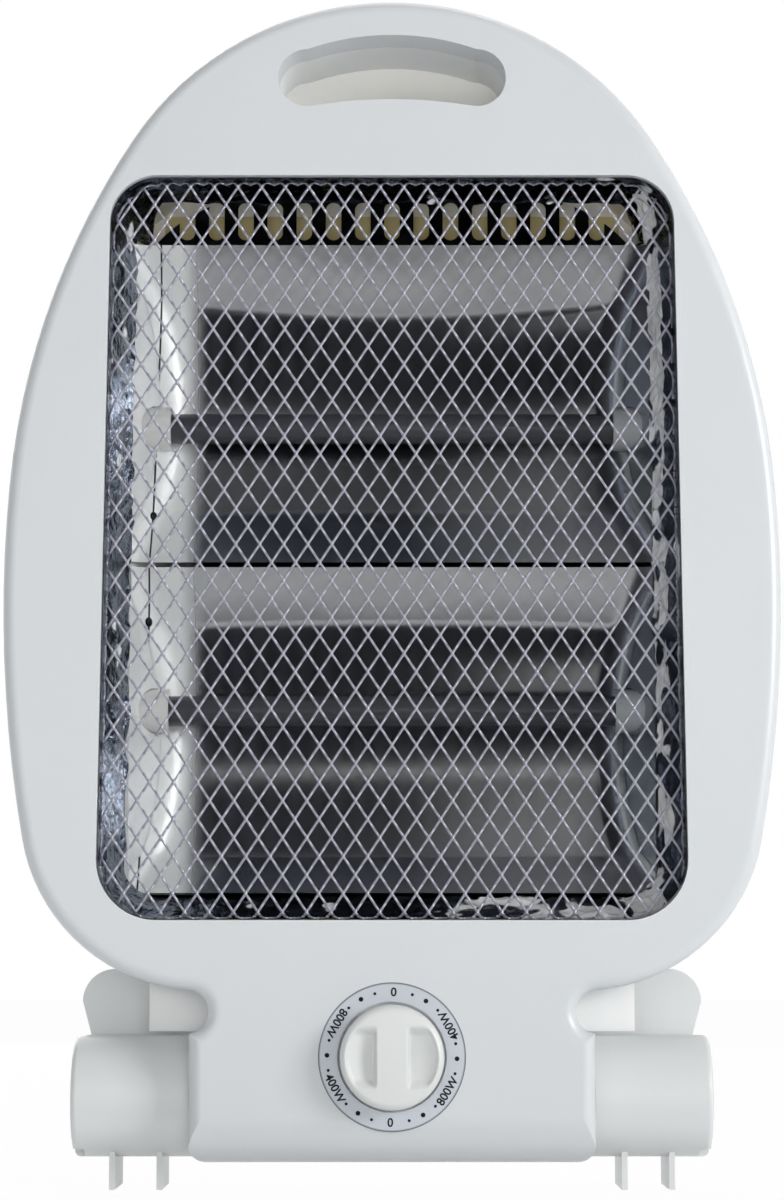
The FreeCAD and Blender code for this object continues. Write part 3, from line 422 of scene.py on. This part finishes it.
def silverLacquer():
    s = ringLook
    material, tree, shader, place = startMaterial("silverLacquer")
    shader.inputs["Metallic"].default_value = 0.2
    flake = noiseAt(tree, place, s["flake"], 2.0).outputs["Fac"]
    vary(tree, shader, flake, ("#c9ced6", "#d6dae1"), (0.40, 0.48))
    bumpFrom(tree, shader, flake, 0.01, 0.4)
    # painted shade: a darker band at the ring's outer edge, where the wall of its recess shades it
    centre = (dialPlace[0] * mm, 0, dialPlace[1] * mm)
    out = addNode(tree, "ShaderNodeVectorMath", {0: place, 1: centre}, operation="SUBTRACT")
    out = addNode(tree, "ShaderNodeVectorMath", {0: out.outputs[0], 1: (1, 0, 1)}, operation="MULTIPLY")
    out = addNode(tree, "ShaderNodeVectorMath", {0: out.outputs[0]}, operation="LENGTH")
    rimShade = ramp(tree, out.outputs["Value"], *(r * mm for r in s["rimShade"]))
    tintOver(tree, shader, rimShade, s["rimShadeHex"])
    return material


silverRing = silverLacquer()


# pad-printing ink: thin, black, a little uneven in gloss
def printInk():
    material, tree, shader, place = startMaterial("blackPrintInk")
    film = noiseAt(tree, place, 0.8, 2.0)
    vary(tree, shader, film.outputs["Fac"], ("#0d0e10", "#15161a"), (0.45, 0.6))
    return material


ink = printInk()

dress(whiteAbs, "front_panel")
dress(coverAbs, "rear_cover")
dress(footAbs, "left_foot", "right_foot", "left_foot_lid", "right_foot_lid")
dress(knobAbs, "knob")
dress(silverRing, "dial_ring")
dress(polishedAluminium, "reflector_upper", "reflector_lower", "reflector_end_right")
dress(litEndPlateAluminium, "reflector_end_left")
dress(galvanised, "heat_shield")
dress(foil, "foil_liner")
dress(quartz, "quartz_tube_upper", "quartz_tube_lower")
dress(resistanceWire, "heating_element_upper", "heating_element_lower")
dress(ceramic, "tube_cap_upper_left", "tube_cap_lower_left")
dress(shadedCeramic, "tube_cap_upper_right", "tube_cap_lower_right")
dress(plainBrass, "tube_terminals")
dress(blackPlastic, "rotary_switch", "tip_over_switch", "cord_inlet")
dress(naturalNylon, "terminal_block", "left_axle", "right_axle")
dress(platedSteel, "switch_shaft", "switch_screws", "left_washer", "right_washer", "left_pivot_screw",
      "right_pivot_screw", "housing_screws", "shield_screws", "end_screws")
print("materials done")


windowFrame = (97.97, 95.4, 88.97, 340.3)   # half width at the foot and at the top, foot, top

# guard of expanded steel: one knuckle with four half strands, repeated on a grid, its border rolled back

guardSet = {
    "pitch": 8.08, "rise": 12.3, "strand": 0.72, "thick": 0.5, "tilt": 20.0,
    "knuckle": 1.9, "knuckleWidth": 0.85, "knuckleThick": 0.8,
    "columns": 29, "rows": 24, "face": -25.0,
    "window": windowFrame, "corner": 18.0, "edgeGap": 0.7, "roll": 2.4, "skirt": 3.5,
}


def latticeTree():
    tree = bpy.data.node_groups.new("expandedLattice", "GeometryNodeTree")
    for name, kind in (("pitch", "NodeSocketFloat"), ("rise", "NodeSocketFloat"), ("strand", "NodeSocketFloat"),
                       ("thick", "NodeSocketFloat"), ("tilt", "NodeSocketFloat"), ("knuckle", "NodeSocketVector"),
                       ("columns", "NodeSocketInt"), ("rows", "NodeSocketInt"), ("steel", "NodeSocketMaterial")):
        tree.interface.new_socket(name, in_out="INPUT", socket_type=kind)
    tree.interface.new_socket("mesh", in_out="OUTPUT", socket_type="NodeSocketGeometry")
    given = addNode(tree, "NodeGroupInput").outputs

    # half strand: from the knuckle to halfway along, lying at the diamond's angle
    angle = calc(tree, "ARCTAN2", given["rise"], given["pitch"])
    reach = addNode(tree, "ShaderNodeVectorMath", {0: addNode(tree, "ShaderNodeCombineXYZ", {
        "X": given["pitch"], "Y": given["rise"]}).outputs[0]}, operation="LENGTH").outputs["Value"]
    half = calc(tree, "MULTIPLY", reach, 0.25)
    size = addNode(tree, "ShaderNodeCombineXYZ", {"X": half, "Y": given["strand"], "Z": given["thick"]}).outputs[0]
    bar = addNode(tree, "GeometryNodeMeshCube", {"Size": size, "Vertices X": 3}).outputs["Mesh"]
    middle = addNode(tree, "ShaderNodeCombineXYZ", {"X": calc(tree, "MULTIPLY", half, 0.5)}).outputs[0]
    parts = addNode(tree, "GeometryNodeJoinGeometry")
    for side, turned in ((1, 0.0), (-1, 0.0), (1, math.pi), (-1, math.pi)):
        lean = calc(tree, "MULTIPLY", given["tilt"], float(side))
        spun = addNode(tree, "ShaderNodeCombineXYZ", {"X": lean}).outputs[0]
        arm = addNode(tree, "GeometryNodeTransform", {"Geometry": bar, "Translation": middle, "Rotation": spun})
        aim = calc(tree, "MULTIPLY_ADD", angle, float(side), turned)
        flat = addNode(tree, "ShaderNodeCombineXYZ", {"Z": aim}).outputs[0]
        arm = addNode(tree, "GeometryNodeTransform", {"Geometry": arm.outputs[0], "Rotation": flat})
        tree.links.new(arm.outputs[0], parts.inputs[0])
    bond = addNode(tree, "GeometryNodeMeshCube", {"Size": given["knuckle"]}).outputs["Mesh"]
    tree.links.new(bond, parts.inputs[0])

    # two grids of knuckles, the second in the middle of the first one's cells
    wide = calc(tree, "MULTIPLY", calc(tree, "SUBTRACT", given["columns"], 1.0), given["pitch"])
    tall = calc(tree, "MULTIPLY", calc(tree, "SUBTRACT", given["rows"], 1.0), given["rise"])
    grid = addNode(tree, "GeometryNodeMeshGrid", {"Size X": wide, "Size Y": tall, "Vertices X": given["columns"],
                                                  "Vertices Y": given["rows"]}).outputs["Mesh"]
    shift = addNode(tree, "ShaderNodeCombineXYZ", {"X": calc(tree, "MULTIPLY", given["pitch"], 0.5),
                                                   "Y": calc(tree, "MULTIPLY", given["rise"], 0.5)}).outputs[0]
    between = addNode(tree, "GeometryNodeTransform", {"Geometry": grid, "Translation": shift})
    spots = addNode(tree, "GeometryNodeJoinGeometry")
    tree.links.new(grid, spots.inputs[0])
    tree.links.new(between.outputs[0], spots.inputs[0])
    laid = addNode(tree, "GeometryNodeInstanceOnPoints", {"Points": spots.outputs[0], "Instance": parts.outputs[0]})
    real = addNode(tree, "GeometryNodeRealizeInstances", {"Geometry": laid.outputs[0]})
    done = addNode(tree, "GeometryNodeSetMaterial", {"Geometry": real.outputs[0], "Material": given["steel"]})
    addNode(tree, "NodeGroupOutput", {"mesh": done.outputs[0]})
    return tree


def runTree(name, tree, inputs):
    holder = makeObject(name, bpy.data.meshes.new(name))
    modifier = holder.modifiers.new("pattern", "NODES")
    modifier.node_group = tree
    for item in tree.interface.items_tree:
        if item.in_out == "INPUT" and item.name in inputs:
            modifier[item.identifier] = inputs[item.name]
    mesh = bakedMesh(holder)
    mesh.polygons.foreach_set("use_smooth", [True] * len(mesh.polygons))
    holder.modifiers.remove(modifier)
    holder.data = mesh
    return holder


# how far a point lies outside a rounded frame, and the way out from it
def outOfFrame(point, halfWide, halfTall, corner):
    inner = np.array([halfWide - corner, halfTall - corner])
    over = np.abs(point) - inner
    if over[0] > 0 and over[1] > 0:
        far = math.hypot(*over)
        return far - corner, np.sign(point) * over / far
    if over[0] > over[1]:
        return over[0] - corner, np.array([np.sign(point[0]), 0.0])
    return over[1] - corner, np.array([0.0, np.sign(point[1])])


def makeGuard():
    s = guardSet
    sizes = {"pitch": s["pitch"] * mm, "rise": s["rise"] * mm, "strand": s["strand"] * mm, "thick": s["thick"] * mm,
             "tilt": math.radians(s["tilt"]), "columns": s["columns"], "rows": s["rows"], "steel": guardSteel,
             "knuckle": (s["knuckleWidth"] * mm, s["knuckle"] * mm, s["knuckleThick"] * mm)}
    guard = runTree("guard_mesh", latticeTree(), sizes)
    mesh = guard.data
    footHalf, topHalf, foot, top = s["window"]
    middle, halfTall = (foot + top) / 2, (top - foot) / 2
    flat = np.array([v.co for v in mesh.vertices]) / mm
    depthMost = s["roll"] * math.pi / 2 + s["skirt"]
    keepPoint = np.zeros(len(flat), bool)
    for i, (x, z, t) in enumerate(flat):
        share = min(max((z + halfTall) / (2 * halfTall), 0), 1)
        wide = footHalf + (topHalf - footHalf) * share - s["edgeGap"] - s["roll"]
        tall = halfTall - s["edgeGap"] - s["roll"]
        far, way = outOfFrame(np.array([x, z]), wide, tall, s["corner"] - s["edgeGap"] - s["roll"])
        keepPoint[i] = far < depthMost
        turn = min(max(far, 0) / s["roll"], math.pi / 2)
        if far > 0:
            rolled = s["roll"] * math.sin(turn) - far
            x, z = np.array([x, z]) + way * (rolled - t * math.sin(turn))
            depth = s["roll"] * (1 - math.cos(turn)) + max(far - s["roll"] * math.pi / 2, 0)
        else:
            depth = 0.0
        mesh.vertices[i].co = Vector((x, s["face"] + depth - t * math.cos(turn) + s["thick"], middle + z)) * mm
    drop = [p.index for p in mesh.polygons if not all(keepPoint[v] for v in p.vertices)]
    cleanMesh(mesh, drop)
    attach(guard, "housing")
    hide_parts("guard_rising_strands", "guard_falling_strands")
    print("guard:", len(mesh.polygons), "faces")


makeGuard()


# printed marks of the dial: letters stand with their heads to the middle

dialSet = {"centre": dialPlace, "face": -30.0, "markRadius": 21.3, "film": 0.05, "textSize": 3.915, "bold": 0.09,
           "words": ("0", "400W", "800W", "0", "400W", "800W"), "turn": 1.5,
           "bigDot": 0.78, "smallDot": 0.5, "smallStep": 13.2, "dotSides": 20}


def makeDialMarks():
    s = dialSet
    points, faces = [], []

    def stamp(flatPoints, flatFaces, degrees, radius):
        angle = math.radians(degrees + s["turn"])
        start = len(points)
        outX, outZ = math.sin(angle), math.cos(angle)
        for u, v in flatPoints:   # u along the ring against the clock, v towards the middle
            r = radius - v
            x = s["centre"][0] + outX * r - outZ * u
            z = s["centre"][1] + outZ * r + outX * u
            points.append((x * mm, (s["face"] - s["film"]) * mm, z * mm))
        faces.extend([tuple(start + i for i in reversed(face)) for face in flatFaces])

    for k, word in enumerate(s["words"]):
        text = bpy.data.curves.new("mark", "FONT")
        text.body = word
        text.size = s["textSize"]
        text.offset = s["bold"]
        text.align_x = "CENTER"
        text.align_y = "CENTER"
        holder = bpy.data.objects.new("mark", text)
        scene.collection.objects.link(holder)
        bpy.context.view_layer.update()
        mesh = bakedMesh(holder)
        stamp([(v.co.x, v.co.y) for v in mesh.vertices], [tuple(p.vertices) for p in mesh.polygons],
              60 * k, s["markRadius"])
        bpy.data.objects.remove(holder)
    disc = [(math.cos(a), math.sin(a)) for a in np.linspace(0, 2 * math.pi, s["dotSides"], endpoint=False)]
    for k in range(len(s["words"])):
        for step, radius in ((-s["smallStep"], s["smallDot"]), (0, s["bigDot"]), (s["smallStep"], s["smallDot"])):
            dot = [(u * radius, v * radius) for u, v in disc]
            stamp(dot, [tuple(range(s["dotSides"]))], 30 + 60 * k + step, s["markRadius"])
    marks = makeObject("dial_marks", meshFrom("dial_marks", points, faces), ink, smooth=False)
    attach(marks, "housing")


makeDialMarks()
print("dial marks printed")


# the reflectors' own sheet: polished, but made pale and matt at the left end as a painted highlight where light
# falls, with a thin painted shade line along the leaning seam where the end piece is lapped on, and made less
# metallic right of the middle wherever it faces up, a painted highlight for light reflected there
sheetLook = {"litEnd": (-74.0, -64.0), "litEndHex": "#eef1f0", "litEndMetal": 0.25, "litEndRough": 0.42,
             "seamAt": -89.3, "seamLean": -0.0276, "seamHalf": 0.3, "seamShadeHex": "#2c2e30",
             "litHazeFacing": (0.0, 0.3), "litHazeFrom": (5.0, 58.0), "litHazeTo": (62.0, 74.0), "litHaze": 0.34}


def dulledSheet():
    s = sheetLook
    material = polishedAluminium.copy()
    material.name = "dulledAluminium"
    tree = material.node_tree
    shader = tree.nodes["Principled BSDF"]
    at = addNode(tree, "ShaderNodeSeparateXYZ", {0: addNode(tree, "ShaderNodeTexCoord").outputs["Object"]})
    # painted highlight: pale, matt and less metallic towards the left end, where light from the right falls
    share = ramp(tree, at.outputs["X"], *(x * mm for x in s["litEnd"]), 1.0, 0.0, interpolation_type="SMOOTHSTEP")
    metal = ramp(tree, share, 0.0, 1.0, 1.0, s["litEndMetal"])
    # painted highlight: less metallic, so lighter, right of the middle wherever the sheet faces up, for light
    # reflected there
    facing = addNode(tree, "ShaderNodeSeparateXYZ", {0: addNode(tree, "ShaderNodeNewGeometry").outputs["Normal"]})
    litHaze = ramp(tree, facing.outputs["Z"], *s["litHazeFacing"])
    litHaze = calc(tree, "MULTIPLY", litHaze, ramp(tree, at.outputs["X"], *(x * mm for x in s["litHazeFrom"])))
    litHaze = calc(tree, "MULTIPLY", litHaze, ramp(tree, at.outputs["X"], *(x * mm for x in s["litHazeTo"]), s["litHaze"], 0.0))
    tree.links.new(calc(tree, "SUBTRACT", metal, litHaze), shader.inputs["Metallic"])
    tintOver(tree, shader, share, s["litEndHex"])
    # painted shade: a thin dark line along the leaning seam, for the shadow gap at the lapped edge
    lean = calc(tree, "MULTIPLY_ADD", at.outputs["Z"], s["seamLean"], at.outputs["X"])
    seam = calc(tree, "COMPARE", lean, s["seamAt"] * mm, s["seamHalf"] * mm)
    tintOver(tree, shader, seam, s["seamShadeHex"])
    smooth = shader.inputs["Roughness"].links[0].from_socket
    rough = addNode(tree, "ShaderNodeMix", {0: share, 2: smooth, 3: s["litEndRough"]})
    tree.links.new(rough.outputs[0], shader.inputs["Roughness"])
    return material


dulledAluminium = dulledSheet()


# reflectors: thin bright sheet, a flat facet above and below a shallow hollow, rolled softly into the end plates

troughSet = {
    "half": 89.5, "backHalf": 72.5, "depth": 24.5, "facetLean": 32.9, "backLean": 22.0, "blend": 7.0, "sheet": 0.8,
    "across": 120, "facetSteps": 8, "backSteps": 48,
    "troughs": [   # piece, node, foot, top, upper facet, how much that narrows towards the ends, lower facet
        ("reflector_sheet_upper", "reflector_upper", 211.8, 323.3, 24.0, 5.5, 20.0),
        ("reflector_sheet_lower", "reflector_lower", 98.6, 210.1, 19.0, -1.5, 14.0),
    ],
}


# height and depth down one section of a trough
def troughSection(s, foot, top, upper, lower):
    section = [(top, 0.0)]
    lean = math.tan(math.radians(s["facetLean"]))
    for k in range(s["facetSteps"]):
        z, depth = section[-1]
        section.append((z - upper / s["facetSteps"], depth + upper / s["facetSteps"] * lean))
    step = (top - foot - upper - lower) / s["backSteps"]
    for k in range(s["backSteps"]):
        z, depth = section[-1]
        turn = s["backLean"] * (1 - 2 * (k + 0.5) / s["backSteps"])
        section.append((z - step, depth + step * math.tan(math.radians(turn))))
    deepest = section[-1][1]
    for k in range(s["facetSteps"]):
        z, depth = section[-1]
        section.append((z - lower / s["facetSteps"], depth - deepest / s["facetSteps"]))
    return section


def makeReflectors():
    s = troughSet
    slope = (s["half"] - s["backHalf"]) / s["depth"]
    for name, node, foot, top, upper, narrow, lower in s["troughs"]:
        columns = []
        for u in np.linspace(-1, 1, s["across"] + 1):
            column = []
            for z, depth in troughSection(s, foot, top, upper - narrow * u * u, lower):
                x = u * min(s["half"] - slope * (depth - s["blend"]), s["half"])
                plate = (s["half"] - abs(x)) / slope
                near = max(s["blend"] - abs(depth - plate), 0) / s["blend"]
                column.append((x, min(depth, plate) - near * near * s["blend"] / 4, z))
            columns.append(column)
        high = len(columns[0])
        front = [Vector(p) * mm for column in columns for p in column]
        points = front + [p + Vector((0, s["sheet"] * mm, 0)) for p in front]
        faces, rear = [], len(front)
        for i in range(len(columns) - 1):
            for j in range(high - 1):
                a, b = i * high + j, (i + 1) * high + j
                faces.append((a, a + 1, b + 1, b))
                faces.append((rear + a, rear + b, rear + b + 1, rear + a + 1))
        edge = [i * high for i in range(len(columns))] + [rear - high + j for j in range(1, high)]
        edge += [i * high + high - 1 for i in range(len(columns) - 2, -1, -1)] + list(range(high - 2, 0, -1))
        for k, a in enumerate(edge):
            b = edge[(k + 1) % len(edge)]
            faces.append((a, b, rear + b, rear + a))
        mesh = meshFrom(name, points, faces)
        cleanMesh(mesh)
        sheet = makeObject(name, mesh, dulledAluminium)
        sheet.data.set_sharp_from_angle(angle=math.radians(50))
        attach(sheet, "housing")
        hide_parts(node)


makeReflectors()
print("reflectors rolled")


# two dark rivets on the seam at the left end

rivetSet = {"radius": 1.7, "height": 0.7, "turn": 55.2, "places": [(-82.8, 8.6, 229.0), (-84.0, 7.4, 192.0)]}


def makeRivets():
    s = rivetSet
    work = bmesh.new()
    for place in s["places"]:
        lie = Matrix.Translation(Vector(place) * mm) @ Matrix.Rotation(math.radians(s["turn"]), 4, "Z")
        shape = Matrix.Diagonal((s["radius"] * mm, s["height"] * mm, s["radius"] * mm, 1))
        bmesh.ops.create_uvsphere(work, u_segments=24, v_segments=12, radius=1, matrix=lie @ shape)
    mesh = bpy.data.meshes.new("end_rivets")
    work.to_mesh(mesh)
    work.free()
    rivets = makeObject("end_rivets", mesh, darkRivetSteel)
    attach(rivets, "housing")


makeRivets()
print("rivets set")


# foil round the cavity: one creased band, folded over the window's flange and running back to the reflectors

foilSet = {
    "window": windowFrame, "rounds": (20.0, 16.0), "cell": 2.6, "seed": 7,
    # profile: depth, how far in from the window's edge at the foot, the sides and the top, and share of the creases
    "profile": [(-27.6, 0.3, 0.3, 0.3, 0.05), (-24.5, 0.35, 0.35, 0.35, 0.1), (-21.5, 0.4, 0.4, 0.4, 0.15),
                (-18.5, 0.5, 0.5, 0.4, 0.2), (-15.5, 0.8, 1.6, 0.4, 0.5), (-12.0, 2.0, 2.6, 0.4, 1.0),
                (-8.5, 3.6, 3.5, 0.5, 1.0), (-5.5, 5.2, 4.4, 0.6, 1.0), (-2.5, 6.6, 5.4, 0.8, 1.0),
                (0.0, 7.8, 6.4, 1.0, 1.0)],
    "backTo": 27.0,   # in the top corners the band reaches back to the heat shield
    "backStep": 3.0, "backLean": (0.25, 0.02), "cornerShare": 2.2,
    "folds": ((17.0, 1.95), (6.0, 1.35), (2.8, 0.6)), "ragged": 1.0, "raggedSize": 4.0, "weld": 0.01,
}


# points of the window's outline with the way out of it, against the clock from the middle of the foot
def windowPath(s):
    footHalf, topHalf, foot, top = s["window"]
    lowRound, highRound = s["rounds"]
    path = []
    for corner, way in (((1, -1), -90), ((1, 1), 0), ((-1, 1), 90), ((-1, -1), 180)):
        r = lowRound if corner[1] < 0 else highRound
        x = corner[0] * (footHalf - r)
        z = foot + r if corner[1] < 0 else top - r
        for degrees in np.linspace(way, way + 90, 13):
            a = math.radians(degrees)
            path.append((x + r * math.cos(a), z + r * math.sin(a), math.cos(a), math.sin(a)))
    full = []
    for i, near in enumerate(path):
        far = path[(i + 1) % len(path)]
        steps = max(round(math.hypot(far[0] - near[0], far[1] - near[1]) / s["cell"]), 1)
        full.extend(tuple(np.array(near) + (np.array(far) - np.array(near)) * k / steps) for k in range(steps))
    taper = (topHalf / footHalf - 1) / (top - foot)
    return [(x * (1 + taper * (z - foot)), z, outX, outZ) for x, z, outX, outZ in full]


def makeFoil():
    s = foilSet
    noise.seed_set(s["seed"])   # the same creases in every run
    lastFoot, lastSide, lastTop = s["profile"][-1][1:4]
    sideLean, topLean = s["backLean"]
    rows = s["profile"] + [(y, lastFoot, lastSide, lastTop + topLean * y, 1.0)
                           for y in np.arange(s["backStep"], s["backTo"], s["backStep"])]
    path = windowPath(s)
    points, faces = [], []
    for x, z, outX, outZ in path:
        foot, top = max(-outZ, 0) ** 2, max(outZ, 0) ** 2
        for y, atFoot, atSide, atTop, creased in rows:
            if y > 0:   # only the two top corners go further back
                y *= min(s["cornerShare"] * abs(outX) * max(outZ, 0), 1)
                atSide += sideLean * y
            inset = atFoot * foot + atTop * top + atSide * (1 - foot - top)
            spot = Vector((x - outX * inset, y, z - outZ * inset))
            push = sum(depth * noise.noise(spot / size) for size, depth in s["folds"]) * creased
            slip = noise.noise_vector(spot / s["raggedSize"]) * s["ragged"] * creased
            points.append((spot + Vector((-outX * abs(push), slip.y, -outZ * abs(push))) +
                           Vector((-outZ, 0, outX)) * slip.x) * mm)
    wide = len(rows)
    for i in range(len(path)):
        for j in range(wide - 1):
            a, b = i * wide + j, (i + 1) % len(path) * wide + j
            split = ((a, b, b + 1), (a, b + 1, a + 1)) if (i + j) % 2 else ((a, b, a + 1), (b, b + 1, a + 1))
            faces.extend(split)
    mesh = meshFrom("foil_strips", points, faces)
    cleanMesh(mesh, weld=s["weld"] * mm, turnOut=False)
    strips = makeObject("foil_strips", mesh, foil, smooth=False)
    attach(strips, "housing")
    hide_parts("foil_liner")


makeFoil()
print("foil creased")


# heating elements: a close coil of resistance wire in each tube, with straight leads out through the caps

coilSet = {"radius": 3.0, "wire": 0.35, "turn": 2.4, "length": 172.0, "lead": 9.0, "leadRadius": 0.9, "depth": 12.0,
           "turnSteps": 14, "wireSides": 6, "leadSides": 12,
           "coils": [("coil_upper", "heating_element_upper", 260.5), ("coil_lower", "heating_element_lower", 161.5)]}


def coilTree():
    tree = bpy.data.node_groups.new("wireCoil", "GeometryNodeTree")
    for name in ("radius", "wire", "turn", "length", "lead", "leadRadius"):
        tree.interface.new_socket(name, in_out="INPUT", socket_type="NodeSocketFloat")
    tree.interface.new_socket("place", in_out="INPUT", socket_type="NodeSocketVector")
    tree.interface.new_socket("metal", in_out="INPUT", socket_type="NodeSocketMaterial")
    tree.interface.new_socket("mesh", in_out="OUTPUT", socket_type="NodeSocketGeometry")
    given = addNode(tree, "NodeGroupInput").outputs
    turns = calc(tree, "DIVIDE", given["length"], given["turn"])
    spiral = addNode(tree, "GeometryNodeCurveSpiral", {
        "Resolution": coilSet["turnSteps"], "Rotations": turns,
        "Start Radius": given["radius"], "End Radius": given["radius"],
        "Height": given["length"]})
    section = addNode(tree, "GeometryNodeCurvePrimitiveCircle", {"Resolution": coilSet["wireSides"],
                                                                "Radius": given["wire"]})
    wound = addNode(tree, "GeometryNodeCurveToMesh", {"Curve": spiral.outputs[0], "Profile Curve": section.outputs[0],
                                                      "Fill Caps": True})
    half = calc(tree, "MULTIPLY", given["length"], 0.5)
    centred = addNode(tree, "ShaderNodeCombineXYZ", {"Z": calc(tree, "MULTIPLY", half, -1.0)}).outputs[0]
    parts = addNode(tree, "GeometryNodeJoinGeometry")
    coil = addNode(tree, "GeometryNodeTransform", {"Geometry": wound.outputs[0], "Translation": centred})
    tree.links.new(coil.outputs[0], parts.inputs[0])
    pin = addNode(tree, "GeometryNodeMeshCylinder", {"Vertices": coilSet["leadSides"], "Depth": given["lead"],
                                                     "Radius": given["leadRadius"]}).outputs["Mesh"]
    reach = calc(tree, "ADD", half, calc(tree, "MULTIPLY", given["lead"], 0.5))
    for side in (1.0, -1.0):
        spot = addNode(tree, "ShaderNodeCombineXYZ", {"Z": calc(tree, "MULTIPLY", reach, side)}).outputs[0]
        lead = addNode(tree, "GeometryNodeTransform", {"Geometry": pin, "Translation": spot})
        tree.links.new(lead.outputs[0], parts.inputs[0])
    laid = addNode(tree, "GeometryNodeTransform", {"Geometry": parts.outputs[0], "Translation": given["place"],
                                                   "Rotation": (0, math.pi / 2, 0)})
    done = addNode(tree, "GeometryNodeSetMaterial", {"Geometry": laid.outputs[0], "Material": given["metal"]})
    addNode(tree, "NodeGroupOutput", {"mesh": done.outputs[0]})
    return tree


def makeCoils():
    s = coilSet
    tree = coilTree()
    sizes = {name: s[name] * mm for name in ("radius", "wire", "turn", "length", "lead", "leadRadius")}
    for name, node, height in s["coils"]:
        coil = runTree(name, tree, {**sizes, "place": (0.0, s["depth"] * mm, height * mm), "metal": resistanceWire})
        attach(coil, "housing")
        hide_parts(node)
        print(name, len(coil.data.polygons), "faces")


makeCoils()
print("coils wound")


# knob: a domed disc with a finger scoop on each side of its grip bar

knobSet = {"centre": dialPlace, "front": -40.0, "rear": -30.5, "radius": 17.0, "edge": 2.4, "dome": 0.7,
           "barHalf": 4.9, "scoopReach": 15.2, "scoopHalf": 10.4, "scoopDepth": 5.2, "wallRun": 1.3,
           "rimStep": 1.3, "rimRun": 0.9, "endRun": 3.4, "rings": 64, "spokes": 168, "evenShare": 0.8, "bevel": 0.4}


def softStep(low, high, x):
    share = min(max((x - low) / (high - low), 0), 1)
    return share * share * (3 - 2 * share)


def knobFace(x, z):
    s = knobSet
    r = math.hypot(x, z)
    flat = s["radius"] - s["edge"]
    depth = s["dome"] * (r / s["radius"]) ** 2
    if r > flat:
        depth += s["edge"] - math.sqrt(max(s["edge"] ** 2 - (r - flat) ** 2, 0))
    # the scoop starts with a small step at its rim and slopes down to the bar
    inwards = s["scoopReach"] - r
    slope = min(max(inwards / (s["scoopReach"] - s["barHalf"]), 0), 1)
    floor = s["rimStep"] * softStep(0, s["rimRun"], inwards) + (s["scoopDepth"] - s["rimStep"]) * slope
    inScoop = softStep(0, s["wallRun"], abs(x) - s["barHalf"]) * softStep(0, s["endRun"], s["scoopHalf"] - abs(z))
    return depth + floor * inScoop


def makeKnob():
    s = knobSet
    points = [(0, s["front"] + knobFace(0, 0), 0)]
    n, even = s["spokes"], s["evenShare"]
    ways = [(math.sin(2 * math.pi * k / n), math.cos(2 * math.pi * k / n)) for k in range(n)]
    for ring in range(1, s["rings"] + 1):   # the rings lie closer together towards the edge
        share = ring / s["rings"]
        if share >= even:
            share = even + (1 - even) * math.sin((share - even) / (1 - even) * math.pi / 2)
        r = s["radius"] * share
        points.extend((r * u, s["front"] + knobFace(r * u, r * v), r * v) for u, v in ways)
    # side wall down to a small bevel at the foot
    for r, y in ((s["radius"], s["rear"] - s["bevel"]), (s["radius"] - s["bevel"], s["rear"])):
        points.extend((r * u, y, r * v) for u, v in ways)
    points = [((x + s["centre"][0]) * mm, y * mm, (z + s["centre"][1]) * mm) for x, y, z in points]
    faces = []
    for k in range(n):
        faces.append((0, 1 + (k + 1) % n, 1 + k))
    for ring in range(s["rings"] + 1):
        a, b = 1 + ring * n, 1 + (ring + 1) * n
        for k in range(n):
            faces.append((a + k, a + (k + 1) % n, b + (k + 1) % n, b + k))
    last = 1 + (s["rings"] + 1) * n
    faces.append(tuple(last + k for k in range(n)))
    mesh = meshFrom("knob_cap", points, faces)
    cleanMesh(mesh)
    knob = makeObject("knob_cap", mesh, knobAbs)
    knob.data.polygons[-1].use_smooth = False
    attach(knob, "dial")
    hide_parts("knob")


makeKnob()
print("knob shaped")
